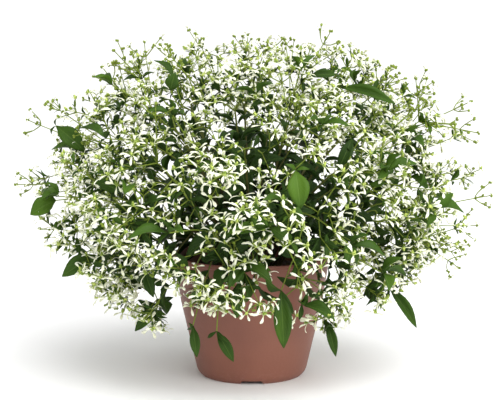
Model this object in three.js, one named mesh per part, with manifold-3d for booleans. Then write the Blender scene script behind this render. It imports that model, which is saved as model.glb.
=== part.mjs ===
// Potted euphorbia: a plastic grower's pot, its soil, leafy shoots and their flowering tops.
// Millimetres, +Z up. The pot's axis is the Z axis and its foot stands on z = 0; the front is -Y.
import * as THREE from "three";
import { mergeVertices } from "three/addons/utils/BufferGeometryUtils.js";
import Module from "manifold-3d";

const wasm = await Module();
wasm.setup();

const GAP = 0.35; // between neighbouring pieces

// The pot
const POT_HEIGHT = 100;
const POT_SIDES = 36;
const WALL = 1.6;
const RIM_RADIUS = 65.4;
const RIM_DROP = 4;
const NECK_RADIUS = 63.9;
const SHOULDER_HEIGHT = 61;
const SHOULDER_RADIUS = 58.4;
const SHOULDER_STEP = 0.7;
const HEEL_HEIGHT = 6.5;
const HEEL_RADIUS = 45.2;
const FOOT_RADIUS = 41.5;
const FOOT_RECESS_RADIUS = 38;
const FOOT_RECESS = 3;
const FLOOR = 2;
const NOTCH_COUNT = 3;
const NOTCH_WIDTH = 18.5;
const NOTCH_TOP_WIDTH = 15.5;
const NOTCH_HEIGHT = 2.3;
const DRAIN_COUNT = 6;
const DRAIN_CIRCLE = 27;
const DRAIN_RADIUS = 4;

// The soil
const SOIL_TOP = 87;
const SOIL_SIDES = 20;
const SOIL_CROWN = 2.5;
const STEM_HOLE_DEPTH = 10;

// The crown: its middle, and how far its tips reach by the angle from straight up
const MIDDLE = new THREE.Vector3(0, 0, 130);
const REACH_ANGLES = [0, 22, 39, 52, 64, 81, 93, 103, 120];
const REACH = [150, 166, 180, 187, 196, 193, 184, 164, 150];
const INNER_REACH = 0.95;
const CLOSEST = 0.84; // cosine of the least angle between the sprouts of a fork

// The stems
const STEM_COUNT = 26;
const LOWEST_STEM = 108;
const FIRST_TURN = 1.9;
const FOOT_SPREAD = 27;
const FOOT_LEAN = 0.38; // share of its lean with which a stem leaves the soil
const STEM_BEND = 0.6;
const STEM_SHARE = 0.54;
const STEM_LIFT = 0.92;
const STEM_STEPS = 5;
const STEM_JOINTS = [3, 4, 5];
const STEM_RADIUS = 1.6;
const STEM_TIP_RADIUS = 1.1;

// The leaves
const TWIG_COUNT = 52;
const LOWEST_TWIG = 112;
const TWIG_TRIES = 9;
const TWIG_BOW = 7;
const TWIG_BOW_STEP = 3;
const TWIG_RADIUS = 0.9;
const LEAF_THICKNESS = 1;
const LEAF_SAG = 0.16;
const LEAF_LENGTH = 25;
const LEAF_SHAPE = 0.32; // width by length
const YOUNG_HEIGHT = 205; // above it leaves are young, at this share of the full length
const YOUNG_SHARE = 0.72;
const LEAF_STATIONS = [[0.34, 0.5], [0.7, 0.36]]; // place along the blade, and half width there

// The flowers
const BLOOM_COUNT = 375;
const LOWEST_BLOOM = 119;
const LAYERS = [1, 0.88, 0.76];
const TRUNK = 6;
const FORK_SHARE = 0.78;
const PAIR_SHARE = 0.86;
const ARM_BOW = 2;
const ARM_RADIUS = 0.9;
const BLOOM_TRIES = 8;
const LEAST_STALK = 8;
const CUP = 0.85;
const BRACT_LENGTH = 8.4;
const BRACT_WIDTH = 3.8;
const BRACT_RISE = 1.6;
const BRACT_THICKNESS = 0.9;

// Flowers at the crown's outermost tips: x, y, z
const OUTER_TIPS = [
  [-193, 0, 157], [-186, 25, 208], [-162, -30, 227], [-146, 20, 238], [-111, -10, 267],
  [-97, 40, 258], [-73, -20, 272], [-45, 10, 279], [8, -30, 273], [64, 0, 282],
  [100, 30, 245], [131, -20, 245], [149, 15, 240], [177, -10, 226], [191, 10, 220],
  [179, -40, 203], [185, 35, 160], [194, -15, 150], [188, 20, 120], [176, -20, 110],
  [172, 10, 86], [-171, -20, 123], [-158, 20, 102], [-130, -30, 60], [-80, -60, 50],
  [130, -40, 82], [74, -70, 60], [4, -185, 160], [0, 185, 152],
];

// Leaves that hang or stand singly: root x, y, z, then tip x, y, z, then width
const SINGLE_LEAVES = [
  [-157, -20, 207, -134, -24, 187, 15], [-157, -30, 148, -177, -34, 137, 15],
  [-102, -80, 162, -120, -88, 171, 11], [32, -148, 186, 35, -156, 159, 16],
  [13, -150, 145, -18, -154, 141, 9], [67, -60, 241, 111, -64, 228, 9],
  [68, -20, 248, 46, -24, 247, 8], [59, -66, 57, 66, -72, 30, 8],
  [-10, -115, 98, -11, -120, 71, 12], [22, -115, 91, 24, -121, 48, 14],
  [-45, -100, 61, -42, -104, 37, 8], [-27, -98, 56, -14, -102, 33, 9],
  [-83, -80, 100, -76, -86, 80, 9], [-75, -62, 65, -92, -66, 49, 9],
  [90, -60, 84, 99, -66, 72, 11], [109, -40, 81, 132, -44, 47, 9],
  [-124, -40, 105, -151, -46, 89, 14], [-63, -60, 238, -59, -64, 252, 11],
];

const GOLDEN_ANGLE = Math.PI * (3 - Math.sqrt(5));
const UP = new THREE.Vector3(0, 0, 1);

// A source of draws between `low` and `high`, the same every time for the same seed
function seeded(seed) {
  let state = seed >>> 0;
  return (low, high) => {
    state = (state + 0x6d2b79f5) >>> 0;
    let mixed = Math.imul(state ^ (state >>> 15), state | 1);
    mixed ^= mixed + Math.imul(mixed ^ (mixed >>> 7), mixed | 61);
    return low + ((high - low) * ((mixed ^ (mixed >>> 14)) >>> 0)) / 4294967296;
  };
}

function radians(degrees) {
  return (degrees * Math.PI) / 180;
}

function heading(lean, turn) {
  const out = Math.sin(lean);
  return new THREE.Vector3(out * Math.cos(turn), out * Math.sin(turn), Math.cos(lean));
}

function reach(lean) {
  const angle = (lean * 180) / Math.PI;
  for (let i = 1; i < REACH.length; i += 1) {
    if (angle <= REACH_ANGLES[i]) {
      const part = (angle - REACH_ANGLES[i - 1]) / (REACH_ANGLES[i] - REACH_ANGLES[i - 1]);
      return REACH[i - 1] + part * (REACH[i] - REACH[i - 1]);
    }
  }
  return REACH[REACH.length - 1];
}

function between(a, b, part) {
  return a.clone().lerp(b, part);
}

function along(a, direction, distance) {
  return a.clone().addScaledVector(direction, distance);
}

function unit(a) {
  return a.clone().normalize();
}

// A direction square to `axis`, as near `hint` as it can be
function squareTo(axis, hint) {
  const side = hint.clone().addScaledVector(axis, -hint.dot(axis));
  if (side.length() < 0.05) {
    side.set(1, 0, 0).addScaledVector(axis, -axis.x);
  }
  return side.normalize();
}

// Space that is taken, as rods with round ends: { start, end, radius, joints }. Rods with a
// joint in common may touch.
const taken = [];
let jointCount = 0;

function newJoint() {
  jointCount += 1;
  return jointCount;
}

function rodDistance(a, b, c, d) {
  const u = b.clone().sub(a);
  const v = d.clone().sub(c);
  const w = a.clone().sub(c);
  const uu = u.dot(u);
  const vv = v.dot(v);
  const uv = u.dot(v);
  const uw = u.dot(w);
  const vw = v.dot(w);
  const spread = uu * vv - uv * uv;
  let s = spread > 1e-9 ? (uv * vw - vv * uw) / spread : 0;
  s = Math.min(1, Math.max(0, s));
  let t = vv > 1e-9 ? (uv * s + vw) / vv : 0;
  t = Math.min(1, Math.max(0, t));
  s = uu > 1e-9 ? Math.min(1, Math.max(0, (uv * t - uw) / uu)) : 0;
  return along(a, u, s).distanceTo(along(c, v, t));
}

// Whether a ball there stays off the ground, the pot's wall and rim, and the soil
function offPot(point, radius) {
  const out = Math.hypot(point.x, point.y);
  const above = point.z > POT_HEIGHT + radius + 2;
  const beside = out > RIM_RADIUS + radius + 2 && point.z > radius + 6;
  const inside = out < RIM_RADIUS - radius - 6 && point.z > SOIL_TOP + radius + 3;
  return above || beside || inside;
}

function isFree(rods) {
  return rods.every((rod) => {
    for (let part = 0; part <= 8; part += 1) {
      if (!offPot(between(rod.start, rod.end, part / 8), rod.radius)) {
        return false;
      }
    }
    const middle = between(rod.start, rod.end, 0.5);
    const half = rod.start.distanceTo(rod.end) / 2;
    return taken.every((other) => {
      const room = rod.radius + other.radius + GAP;
      const near = room + half + other.start.distanceTo(other.end) / 2;
      if (middle.distanceTo(between(other.start, other.end, 0.5)) > near) {
        return true;
      }
      if (rod.joints.some((joint) => other.joints.includes(joint))) {
        return true;
      }
      return rodDistance(rod.start, rod.end, other.start, other.end) >= room;
    });
  });
}

// Rods along a path from one joint to another
function pathRods(path, radius, from, to) {
  const joints = [from];
  path.slice(2).forEach(() => joints.push(newJoint()));
  joints.push(to);
  return path.slice(1).map((end, i) => {
    return { start: path[i], end, radius, joints: [joints[i], joints[i + 1]] };
  });
}

// A leaf as two bent rods side by side
function leafRods(leaf, joint) {
  const axis = unit(leaf.tip.clone().sub(leaf.root));
  const face = squareTo(axis, leaf.face);
  const side = axis.clone().cross(face);
  const belly = along(between(leaf.root, leaf.tip, 0.45), face, leaf.sag * 0.5);
  const half = leaf.width / 4;
  const belt = newJoint();
  const rods = [];
  for (const hand of [-half, half]) {
    const middle = along(belly, side, hand);
    rods.push({ start: leaf.root, end: middle, radius: half + 0.4, joints: [joint, belt] });
    rods.push({ start: middle, end: leaf.tip, radius: half + 0.2, joints: [belt] });
  }
  return rods;
}

function bractAxes(bloom) {
  const first = squareTo(bloom.axis, UP).applyAxisAngle(bloom.axis, bloom.spin);
  return [0, 1, 2].map((k) => first.clone().applyAxisAngle(bloom.axis, (k * 2 * Math.PI) / 3));
}

function bloomRods(bloom, from) {
  const joint = newJoint();
  const stalk = { start: bloom.root, end: bloom.centre, radius: CUP, joints: [from, joint] };
  const bracts = bractAxes(bloom).map((out) => {
    const end = along(along(bloom.centre, out, BRACT_LENGTH - 1), bloom.axis, BRACT_RISE);
    return { start: bloom.centre, end, radius: BRACT_WIDTH / 2, joints: [joint] };
  });
  return [stalk, ...bracts];
}

// The lean of number `i` of `count` places spread evenly over the crown, down to `lowest` degrees
function evenLean(i, count, lowest) {
  return Math.acos(1 - ((1 - Math.cos(radians(lowest))) * (i + 0.5)) / count);
}

// Main stems, from the soil up and outwards, with joints on the way
const stems = [];
for (let i = 0; i < STEM_COUNT; i += 1) {
  const turn = FIRST_TURN + i * GOLDEN_ANGLE;
  const lean = evenLean(i, STEM_COUNT, LOWEST_STEM);
  const offAxis = FOOT_SPREAD * Math.sqrt((i + 0.5) / STEM_COUNT);
  const foot = heading(Math.PI / 2, turn).multiplyScalar(offAxis).setZ(SOIL_TOP + 4);
  const top = along(MIDDLE, heading(lean * STEM_LIFT, turn), reach(lean) * STEM_SHARE);
  const bend = along(foot, heading(lean * FOOT_LEAN, turn), foot.distanceTo(top) * STEM_BEND);
  const path = [foot.clone().setZ(SOIL_TOP - STEM_HOLE_DEPTH + 1), foot];
  for (let step = 1; step <= STEM_STEPS; step += 1) {
    const part = step / STEM_STEPS;
    path.push(between(between(foot, bend, part), between(bend, top, part), part));
  }
  const ids = path.map(() => newJoint());
  const ahead = unit(path[STEM_STEPS + 1].clone().sub(path[STEM_STEPS]));
  const crown = { at: along(top, ahead, TRUNK), ahead, id: newJoint(), sprouts: [] };
  const joints = STEM_JOINTS.map((k) => ({
    at: path[k],
    ahead: unit(path[k + 1].clone().sub(path[k - 1])),
    id: ids[k],
    place: k,
    sprouts: [],
  }));
  stems.push({
    number: String(i + 1).padStart(2, "0"),
    heading: heading(lean, turn),
    face: squareTo(unit(top.clone().sub(foot)), heading(Math.PI / 2, turn + 1.3)),
    path,
    joints,
    crown,
    goals: [],
  });
  const ground = newJoint();
  for (let k = 1; k < path.length - 1; k += 1) {
    const ends = [ids[k], ids[k + 1], ground];
    taken.push({ start: path[k], end: path[k + 1], radius: STEM_RADIUS, joints: ends });
  }
  taken.push(...pathRods([top, crown.at], ARM_RADIUS, ids[path.length - 1], crown.id));
}

// The way in which a sprout leaves its fork
function wayOf(sprout) {
  if (sprout.kind === "leaf") {
    return unit(sprout.leaf.tip.clone().sub(sprout.leaf.root));
  }
  if (sprout.kind === "bloom") {
    return unit(sprout.bloom.centre.clone().sub(sprout.bloom.root));
  }
  return unit(sprout.path[1].clone().sub(sprout.path[0]));
}

// Whether a new sprout stands well apart from the others of its fork, and its rods are free
function canGrow(fork, sprout, rods) {
  const way = wayOf(sprout);
  return fork.sprouts.every((other) => wayOf(other).dot(way) < CLOSEST) && isFree(rods);
}

function grow(fork, sprout, rods) {
  taken.push(...rods);
  fork.sprouts.push(sprout);
}

function nearestStem(spot) {
  const direction = unit(spot.clone().sub(MIDDLE));
  const nearness = (stem) => stem.heading.dot(direction);
  return stems.reduce((best, stem) => (nearness(stem) > nearness(best) ? stem : best));
}

// Where the flowers go: the outer tips first, then an even spread in three layers
const spots = OUTER_TIPS.map((tip) => new THREE.Vector3(...tip));
for (let i = 0; spots.length < BLOOM_COUNT; i += 1) {
  const draw = seeded(1000 + i);
  const lean = evenLean(i, BLOOM_COUNT - OUTER_TIPS.length, LOWEST_BLOOM) + draw(-0.04, 0.04);
  const turn = i * GOLDEN_ANGLE + draw(-0.06, 0.06);
  const depth = LAYERS[i % LAYERS.length] * INNER_REACH * draw(0.93, 1);
  spots.push(along(MIDDLE, heading(lean, turn), reach(lean) * depth));
}
for (const spot of spots) {
  nearestStem(spot).goals.push(spot);
}

function forkAt(end, before) {
  return { at: end, ahead: unit(end.clone().sub(before)), id: newJoint(), sprouts: [] };
}

// An arm from a joint towards a few flowers; returns the fork at its end, or nothing
function growArm(joint, goals, share, stem) {
  const mean = new THREE.Vector3();
  goals.forEach((goal) => mean.addScaledVector(goal, 1 / goals.length));
  for (const less of [0, 0.05, 0.1]) {
    const end = between(MIDDLE, mean, share - less);
    const bow = along(between(joint.at, end, 0.5), stem.heading, ARM_BOW);
    bow.z += ARM_BOW;
    const path = share < PAIR_SHARE ? [joint.at, bow, end] : [joint.at, end];
    const fork = forkAt(end, path[path.length - 2]);
    const rods = pathRods(path, ARM_RADIUS, joint.id, fork.id);
    const sprout = { kind: "rod", path, from: ARM_RADIUS, to: ARM_RADIUS, fork };
    if (canGrow(joint, sprout, rods)) {
      grow(joint, sprout, rods);
      return fork;
    }
  }
  return null;
}

// Up to `most` groups of neighbours, by their place around the joint's axis
function grouped(goals, joint, most) {
  const first = squareTo(joint.ahead, UP);
  const second = joint.ahead.clone().cross(first);
  const around = (goal) => {
    const off = goal.clone().sub(joint.at);
    return Math.atan2(off.dot(second), off.dot(first));
  };
  const sorted = [...goals].sort((a, b) => around(a) - around(b));
  const count = Math.min(most, sorted.length);
  const border = (k) => Math.round((k * sorted.length) / count);
  return Array.from({ length: count }, (_, k) => sorted.slice(border(k), border(k + 1)));
}

const forks = [];
for (const stem of stems) {
  for (const goals of grouped(stem.goals, stem.crown, 3)) {
    const fork = growArm(stem.crown, goals, FORK_SHARE, stem);
    if (fork) {
      forks.push({ fork, goals, stem });
    }
  }
}

// Leaf twigs. Each tries the joints of its stem, and is left out where none is free.
function growTwig(stem, goal, leavesAt) {
  for (let attempt = 0; attempt < TWIG_TRIES; attempt += 1) {
    const joint = stem.joints[(attempt + stem.joints.length - 1) % stem.joints.length];
    if (joint.sprouts.length > 1) {
      continue;
    }
    const bow = along(between(joint.at, goal, 0.5), stem.heading, TWIG_BOW_STEP * attempt);
    bow.z += TWIG_BOW;
    const path = [joint.at, bow, goal];
    const fork = forkAt(goal, bow);
    const rods = pathRods(path, TWIG_RADIUS, joint.id, fork.id);
    const sprout = { kind: "rod", path, from: TWIG_RADIUS, to: TWIG_RADIUS, fork };
    if (!canGrow(joint, sprout, rods)) {
      continue;
    }
    leavesAt(fork, attempt).forEach((leaf) => growLeafAt(fork, leaf));
    if (fork.sprouts.length > 0) {
      grow(joint, sprout, rods);
      return;
    }
  }
}

function growLeafAt(fork, leaf) {
  const sprout = { kind: "leaf", leaf };
  const rods = leafRods(leaf, fork.id);
  if (canGrow(fork, sprout, rods)) {
    grow(fork, sprout, rods);
  }
}

function leafBetween(root, tip, face, width) {
  return { root, tip, face, width, sag: root.distanceTo(tip) * LEAF_SAG };
}

for (const [rootX, rootY, rootZ, tipX, tipY, tipZ, width] of SINGLE_LEAVES) {
  const root = new THREE.Vector3(rootX, rootY, rootZ);
  const tip = new THREE.Vector3(tipX, tipY, tipZ);
  const leaf = leafBetween(root, tip, new THREE.Vector3(0, -1, 0.45), width);
  growTwig(nearestStem(root), root, () => [leaf]);
}

for (let i = 0; i < TWIG_COUNT; i += 1) {
  const lean = evenLean(i, TWIG_COUNT, LOWEST_TWIG);
  const direction = heading(lean, 2 + i * GOLDEN_ANGLE);
  const goal = along(MIDDLE, direction, reach(lean) * seeded(3000 + i)(0.68, 0.86));
  growTwig(nearestStem(goal), goal, (fork, attempt) => {
    const draw = seeded(4000 + 10 * i + attempt);
    const side = fork.ahead.clone().cross(squareTo(fork.ahead, UP));
    const grown = LEAF_LENGTH * (goal.z > YOUNG_HEIGHT ? YOUNG_SHARE : 1);
    return [-1, 1, 0].map((hand) => {
      const length = grown * draw(0.75, 1.25) * (hand === 0 ? 0.8 : 1);
      const way = fork.ahead.clone().multiplyScalar(0.6);
      way.addScaledVector(side, hand * draw(0.6, 0.95));
      way.z += draw(-0.3, 0.2) + (hand === 0 ? 0.5 : 0);
      const face = new THREE.Vector3(draw(-0.5, 0.5), draw(-0.7, 0.3), 1);
      const width = length * (LEAF_SHAPE + draw(0, 0.1));
      return leafBetween(goal, along(goal, unit(way), length), face, width);
    });
  });
}

// Flowers, at most three sprouts to a fork, pairs on a fork of their own. Each flower tries a few
// places near its goal, and is left out where none is free.
function growBloom(fork, goal, seed) {
  for (let attempt = 0; attempt < BLOOM_TRIES; attempt += 1) {
    const draw = seeded(seed + attempt);
    const slack = 0.8 * attempt;
    const centre = goal.clone();
    centre.x += draw(-slack, slack);
    centre.y += draw(-slack, slack);
    centre.z += draw(-slack, slack);
    centre.lerp(MIDDLE, 0.012 * attempt);
    const ahead = centre.clone().sub(fork.at).dot(fork.ahead);
    centre.addScaledVector(fork.ahead, Math.max(0, LEAST_STALK - ahead));
    const axis = unit(centre.clone().sub(fork.at));
    axis.x += draw(-0.35, 0.35);
    axis.y += draw(-0.35, 0.35);
    axis.z += draw(0, 0.7);
    const bloom = { root: fork.at, centre, axis: unit(axis), spin: draw(0, 2 * Math.PI) };
    const sprout = { kind: "bloom", bloom };
    const rods = bloomRods(bloom, fork.id);
    if (canGrow(fork, sprout, rods)) {
      grow(fork, sprout, rods);
      return;
    }
  }
}

forks.forEach(({ fork, goals, stem }, f) => {
  grouped(goals, fork, 3).forEach((group, g) => {
    const seed = 5000 + 400 * f + 100 * g;
    if (group.length === 1) {
      growBloom(fork, group[0], seed);
      return;
    }
    const pair = growArm(fork, group, PAIR_SHARE, stem);
    if (pair) {
      group.slice(0, 3).forEach((goal, k) => growBloom(pair, goal, seed + 20 * k));
    }
  });
});

// Leaves on the main stems, inside the crown: up to two sprouts to a joint, a third of a turn or
// more from each other
stems.forEach((stem, i) => {
  for (const joint of stem.joints) {
    const draw = seeded(7000 + 10 * i + joint.place);
    const branched = joint.sprouts.length > 0;
    const first = branched ? wayOf(joint.sprouts[0]) : heading(Math.PI / 2, draw(0, 2 * Math.PI));
    for (let sixth = branched ? 2 : 0; sixth < 6 && joint.sprouts.length < 2; sixth += 1) {
      const way = squareTo(joint.ahead, first).applyAxisAngle(joint.ahead, (sixth * Math.PI) / 3);
      way.addScaledVector(joint.ahead, 0.5);
      const length = LEAF_LENGTH * draw(0.9, 1.35);
      const tip = along(joint.at, unit(way), length);
      growLeafAt(joint, leafBetween(joint.at, tip, joint.ahead, length * (LEAF_SHAPE + 0.06)));
    }
  }
});

// Shapes: every shoot is one skin. A rod has three-cornered sections; at a fork its last section
// rises to a point, and each sprout grows out of one of the three sides around that point.
function corners(shape, points) {
  shape.points.push(...points);
  return points.map((_, k) => shape.points.length - points.length + k);
}

// An even three-cornered section, flat towards `face`, counter-clockwise as seen against `axis`
function section(centre, axis, face, radius) {
  const flat = along(centre, face, radius / 2);
  const left = axis.clone().cross(face).multiplyScalar(-radius * Math.sin(Math.PI / 3));
  return [along(flat, left, 1), along(flat, left, -1), along(centre, face, -radius)];
}

function middleOf(points) {
  return points.reduce((sum, point) => sum.addScaledVector(point, 1 / 3), new THREE.Vector3());
}

// The triangles of a four-cornered face, with its fold along the diagonal that bulges outwards
function foldedOut(shape, a, b, c, d) {
  const [start, second, third, fourth] = [a, b, c, d].map((k) => shape.points[k]);
  const normal = second.clone().sub(start).cross(third.clone().sub(start));
  const bulges = fourth.clone().sub(start).dot(normal) <= 0;
  return bulges ? [[a, b, c], [a, c, d]] : [[a, b, d], [b, c, d]];
}

// Skin between two sections, matched corner to nearest corner; returns the second, so matched
function join(shape, from, points) {
  const old = from.map((k) => shape.points[k]);
  const shift = middleOf(points).sub(middleOf(old));
  const offset = (point, k, turn) => along(point, shift, 1).distanceTo(points[(k + turn) % 3]);
  const misfit = (turn) => old.reduce((sum, point, k) => sum + offset(point, k, turn), 0);
  const best = [0, 1, 2].reduce((a, b) => (misfit(b) < misfit(a) ? b : a));
  const to = corners(shape, [0, 1, 2].map((k) => points[(k + best) % 3]));
  for (let k = 0; k < 3; k += 1) {
    const next = (k + 1) % 3;
    shape.faces.push(...foldedOut(shape, from[k], from[next], to[next], to[k]));
  }
  return to;
}

// An arched blade, flat below, with its midrib raised above
function growLeaf(shape, root, leaf) {
  const axis = unit(leaf.tip.clone().sub(leaf.root));
  const face = squareTo(axis, leaf.face);
  const side = axis.clone().cross(face);
  const length = leaf.root.distanceTo(leaf.tip);
  let last = root;
  for (const [part, half] of LEAF_STATIONS) {
    const arch = leaf.sag * 2.4 * part * (1 - part);
    const middle = along(along(leaf.root, axis, length * part), face, arch);
    last = join(shape, last, [
      along(middle, side, leaf.width * half),
      along(middle, side, -leaf.width * half),
      along(middle, face, LEAF_THICKNESS),
    ]);
  }
  const [tip] = corners(shape, [leaf.tip]);
  shape.faces.push([last[0], last[1], tip], [last[1], last[2], tip], [last[2], last[0], tip]);
}

// Three spoon-shaped bracts around the stalk's last section, which meet above it in one point
function growFlower(shape, root, bloom) {
  const outs = bractAxes(bloom);
  const stalk = section(along(bloom.centre, bloom.axis, -CUP / 2), bloom.axis, outs[0], CUP);
  const last = join(shape, root, stalk);
  const offset = stalk.indexOf(shape.points[last[0]]);
  const [heart] = corners(shape, [along(bloom.centre, bloom.axis, CUP / 2)]);
  outs.forEach((out, k) => {
    const across = out.clone().cross(bloom.axis);
    const near = last[(k + 3 - offset) % 3];
    const far = last[(k + 4 - offset) % 3];
    const brim = along(along(bloom.centre, out, BRACT_LENGTH), bloom.axis, BRACT_RISE);
    const keel = along(bloom.centre, out, BRACT_LENGTH * 0.85);
    const [first, second, under] = corners(shape, [
      along(brim, across, BRACT_WIDTH / 2),
      along(brim, across, -BRACT_WIDTH / 2),
      along(keel, bloom.axis, BRACT_RISE - BRACT_THICKNESS),
    ]);
    shape.faces.push([heart, first, second], [heart, near, first], [far, heart, second]);
    shape.faces.push([near, under, first], [near, far, under], [far, second, under]);
    shape.faces.push([first, under, second]);
  });
}

// A rod along its path, and what sprouts from the fork at its end; without a root, it starts here
function growRod(shape, root, rod) {
  const end = rod.path.length - 1;
  const sprouts = rod.fork ? rod.fork.sprouts : [];
  let last = root;
  rod.path.forEach((point, i) => {
    if (i === 0 && root) {
      return;
    }
    const axis = unit(rod.path[Math.min(end, i + 1)].clone().sub(rod.path[Math.max(0, i - 1)]));
    const forks = i === end && sprouts.length > 0;
    const face = forks ? faceOf(rod.fork, axis) : squareTo(axis, rod.face || UP);
    const ring = section(point, axis, face, rod.from + (i / end) * (rod.to - rod.from));
    if (last) {
      last = join(shape, last, ring);
    } else {
      last = corners(shape, ring);
      shape.faces.push([last[0], last[2], last[1]]);
    }
  });
  if (sprouts.length === 0) {
    shape.faces.push(last);
    return;
  }
  growFork(shape, last, rod.fork, rod.to);
}

const ORDERS = [[0, 1, 2], [0, 2, 1], [1, 0, 2], [1, 2, 0], [2, 0, 1], [2, 1, 0]];

// The order in which the sprouts of a fork suit its three sides best, and how well they do
function bestOrder(fork, sides) {
  const ways = fork.sprouts.map(wayOf);
  const fit = (order) => ways.reduce((sum, way, k) => sum + way.dot(sides[order[k]]), 0);
  const order = ORDERS.reduce((a, b) => (fit(b) > fit(a) + 1e-6 ? b : a));
  return { order, fit: fit(order) };
}

// The turn of a fork's last section that suits its sprouts best, out of twelve in a third of a turn
function faceOf(fork, axis) {
  const turned = (face, turn) => face.clone().applyAxisAngle(axis, turn);
  const sides = (face) => [0, 1, 2].map((k) => turned(face, (k * 2 * Math.PI) / 3));
  const fit = (face) => bestOrder(fork, sides(face)).fit;
  const start = squareTo(axis, UP);
  const faces = Array.from({ length: 12 }, (_, k) => turned(start, (k * Math.PI) / 18));
  return faces.reduce((a, b) => (fit(b) > fit(a) + 1e-6 ? b : a));
}

// A fork rises to a point, and its sprouts take the sides around it. The main stem's next length
// takes the most room.
function growFork(shape, last, fork, radius) {
  const points = last.map((k) => shape.points[k]);
  const rims = points.map((point, k) => between(point, points[(k + 1) % 3], 0.5));
  const sides = rims.map((rim) => unit(rim.sub(fork.at)));
  const { order } = bestOrder(fork, sides);
  const peak = along(fork.at, fork.ahead, radius * 1.3);
  const lead = fork.sprouts.findIndex((sprout) => sprout.lead);
  if (lead >= 0) {
    peak.addScaledVector(sides[order[lead]], -radius * 0.45);
  }
  const [top] = corners(shape, [peak]);
  for (let k = 0; k < 3; k += 1) {
    const root = [last[k], last[(k + 1) % 3], top];
    const sprout = fork.sprouts[order.indexOf(k)];
    if (!sprout) {
      shape.faces.push(root);
    } else if (sprout.kind === "leaf") {
      growLeaf(shape, root, sprout.leaf);
    } else if (sprout.kind === "bloom") {
      growFlower(shape, root, sprout.bloom);
    } else {
      growRod(shape, root, sprout);
    }
  }
}

function geometryOf(shape) {
  const geometry = new THREE.BufferGeometry();
  const positions = shape.points.flatMap((point) => [point.x, point.y, point.z]);
  geometry.setAttribute("position", new THREE.Float32BufferAttribute(positions, 3));
  geometry.setIndex(shape.faces.flat());
  return geometry;
}

function skinOf(rod) {
  const shape = { points: [], faces: [] };
  growRod(shape, null, rod);
  return geometryOf(shape);
}

function solid(geometry) {
  const bare = geometry.clone();
  bare.deleteAttribute("normal");
  bare.deleteAttribute("uv");
  const welded = mergeVertices(bare, 1e-4);
  return new wasm.Manifold(
    new wasm.Mesh({
      numProp: 3,
      vertProperties: new Float32Array(welded.attributes.position.array),
      triVerts: new Uint32Array(welded.index.array),
    })
  );
}

function lathe(profile, sides) {
  const geometry = new THREE.LatheGeometry(profile.map(([r, z]) => new THREE.Vector2(r, z)), sides);
  return geometry.rotateX(Math.PI / 2);
}

const part = new THREE.Group();
part.name = "potted_euphorbia";

function addPart(name, body, colour, roughness) {
  const mesh = body.getMesh();
  const geometry = new THREE.BufferGeometry();
  geometry.setAttribute("position", new THREE.BufferAttribute(mesh.vertProperties, 3));
  geometry.setIndex(new THREE.BufferAttribute(mesh.triVerts, 1));
  geometry.computeVertexNormals();
  const material = new THREE.MeshStandardMaterial({ color: colour, roughness, metalness: 0 });
  const piece = new THREE.Mesh(geometry, material);
  piece.name = name;
  part.add(piece);
}

// Pot: turned body, less the notches in its foot and the holes in its floor
const shoulderLow = SHOULDER_RADIUS - SHOULDER_STEP;
const potBody = solid(
  lathe(
    [
      [0, FOOT_RECESS],
      [FOOT_RECESS_RADIUS, FOOT_RECESS],
      [FOOT_RECESS_RADIUS + 0.6, 0],
      [FOOT_RADIUS, 0],
      [HEEL_RADIUS - 1, HEEL_HEIGHT * 0.35],
      [HEEL_RADIUS, HEEL_HEIGHT],
      [shoulderLow, SHOULDER_HEIGHT - 3],
      [SHOULDER_RADIUS, SHOULDER_HEIGHT],
      [NECK_RADIUS, POT_HEIGHT - RIM_DROP],
      [RIM_RADIUS, POT_HEIGHT - RIM_DROP + 0.8],
      [RIM_RADIUS, POT_HEIGHT],
      [RIM_RADIUS - WALL - 1.2, POT_HEIGHT],
      [HEEL_RADIUS - WALL, FOOT_RECESS + FLOOR + 2],
      [HEEL_RADIUS - WALL - 2, FOOT_RECESS + FLOOR],
      [0, FOOT_RECESS + FLOOR],
    ],
    POT_SIDES
  )
);
const notchOutline = new THREE.Shape([
  new THREE.Vector2(-NOTCH_WIDTH / 2 - 0.5, -1),
  new THREE.Vector2(NOTCH_WIDTH / 2 + 0.5, -1),
  new THREE.Vector2(NOTCH_TOP_WIDTH / 2, NOTCH_HEIGHT),
  new THREE.Vector2(-NOTCH_TOP_WIDTH / 2, NOTCH_HEIGHT),
]);
let pot = potBody;
for (let k = 0; k < NOTCH_COUNT; k += 1) {
  const notch = new THREE.ExtrudeGeometry(notchOutline, { depth: 14, bevelEnabled: false });
  notch.rotateX(Math.PI / 2);
  notch.translate(0, -FOOT_RECESS_RADIUS + 4, 0);
  notch.rotateZ((k * 2 * Math.PI) / NOTCH_COUNT);
  pot = pot.subtract(solid(notch));
}
for (let k = 0; k < DRAIN_COUNT; k += 1) {
  const drain = new THREE.CylinderGeometry(DRAIN_RADIUS, DRAIN_RADIUS, 3 * FLOOR, 8);
  const turn = (k * 2 * Math.PI) / DRAIN_COUNT;
  drain.rotateX(Math.PI / 2);
  drain.translate(DRAIN_CIRCLE * Math.cos(turn), DRAIN_CIRCLE * Math.sin(turn), FOOT_RECESS + FLOOR / 2);
  pot = pot.subtract(solid(drain));
}
addPart("pot", pot, 0x93624f, 0.55);

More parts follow.
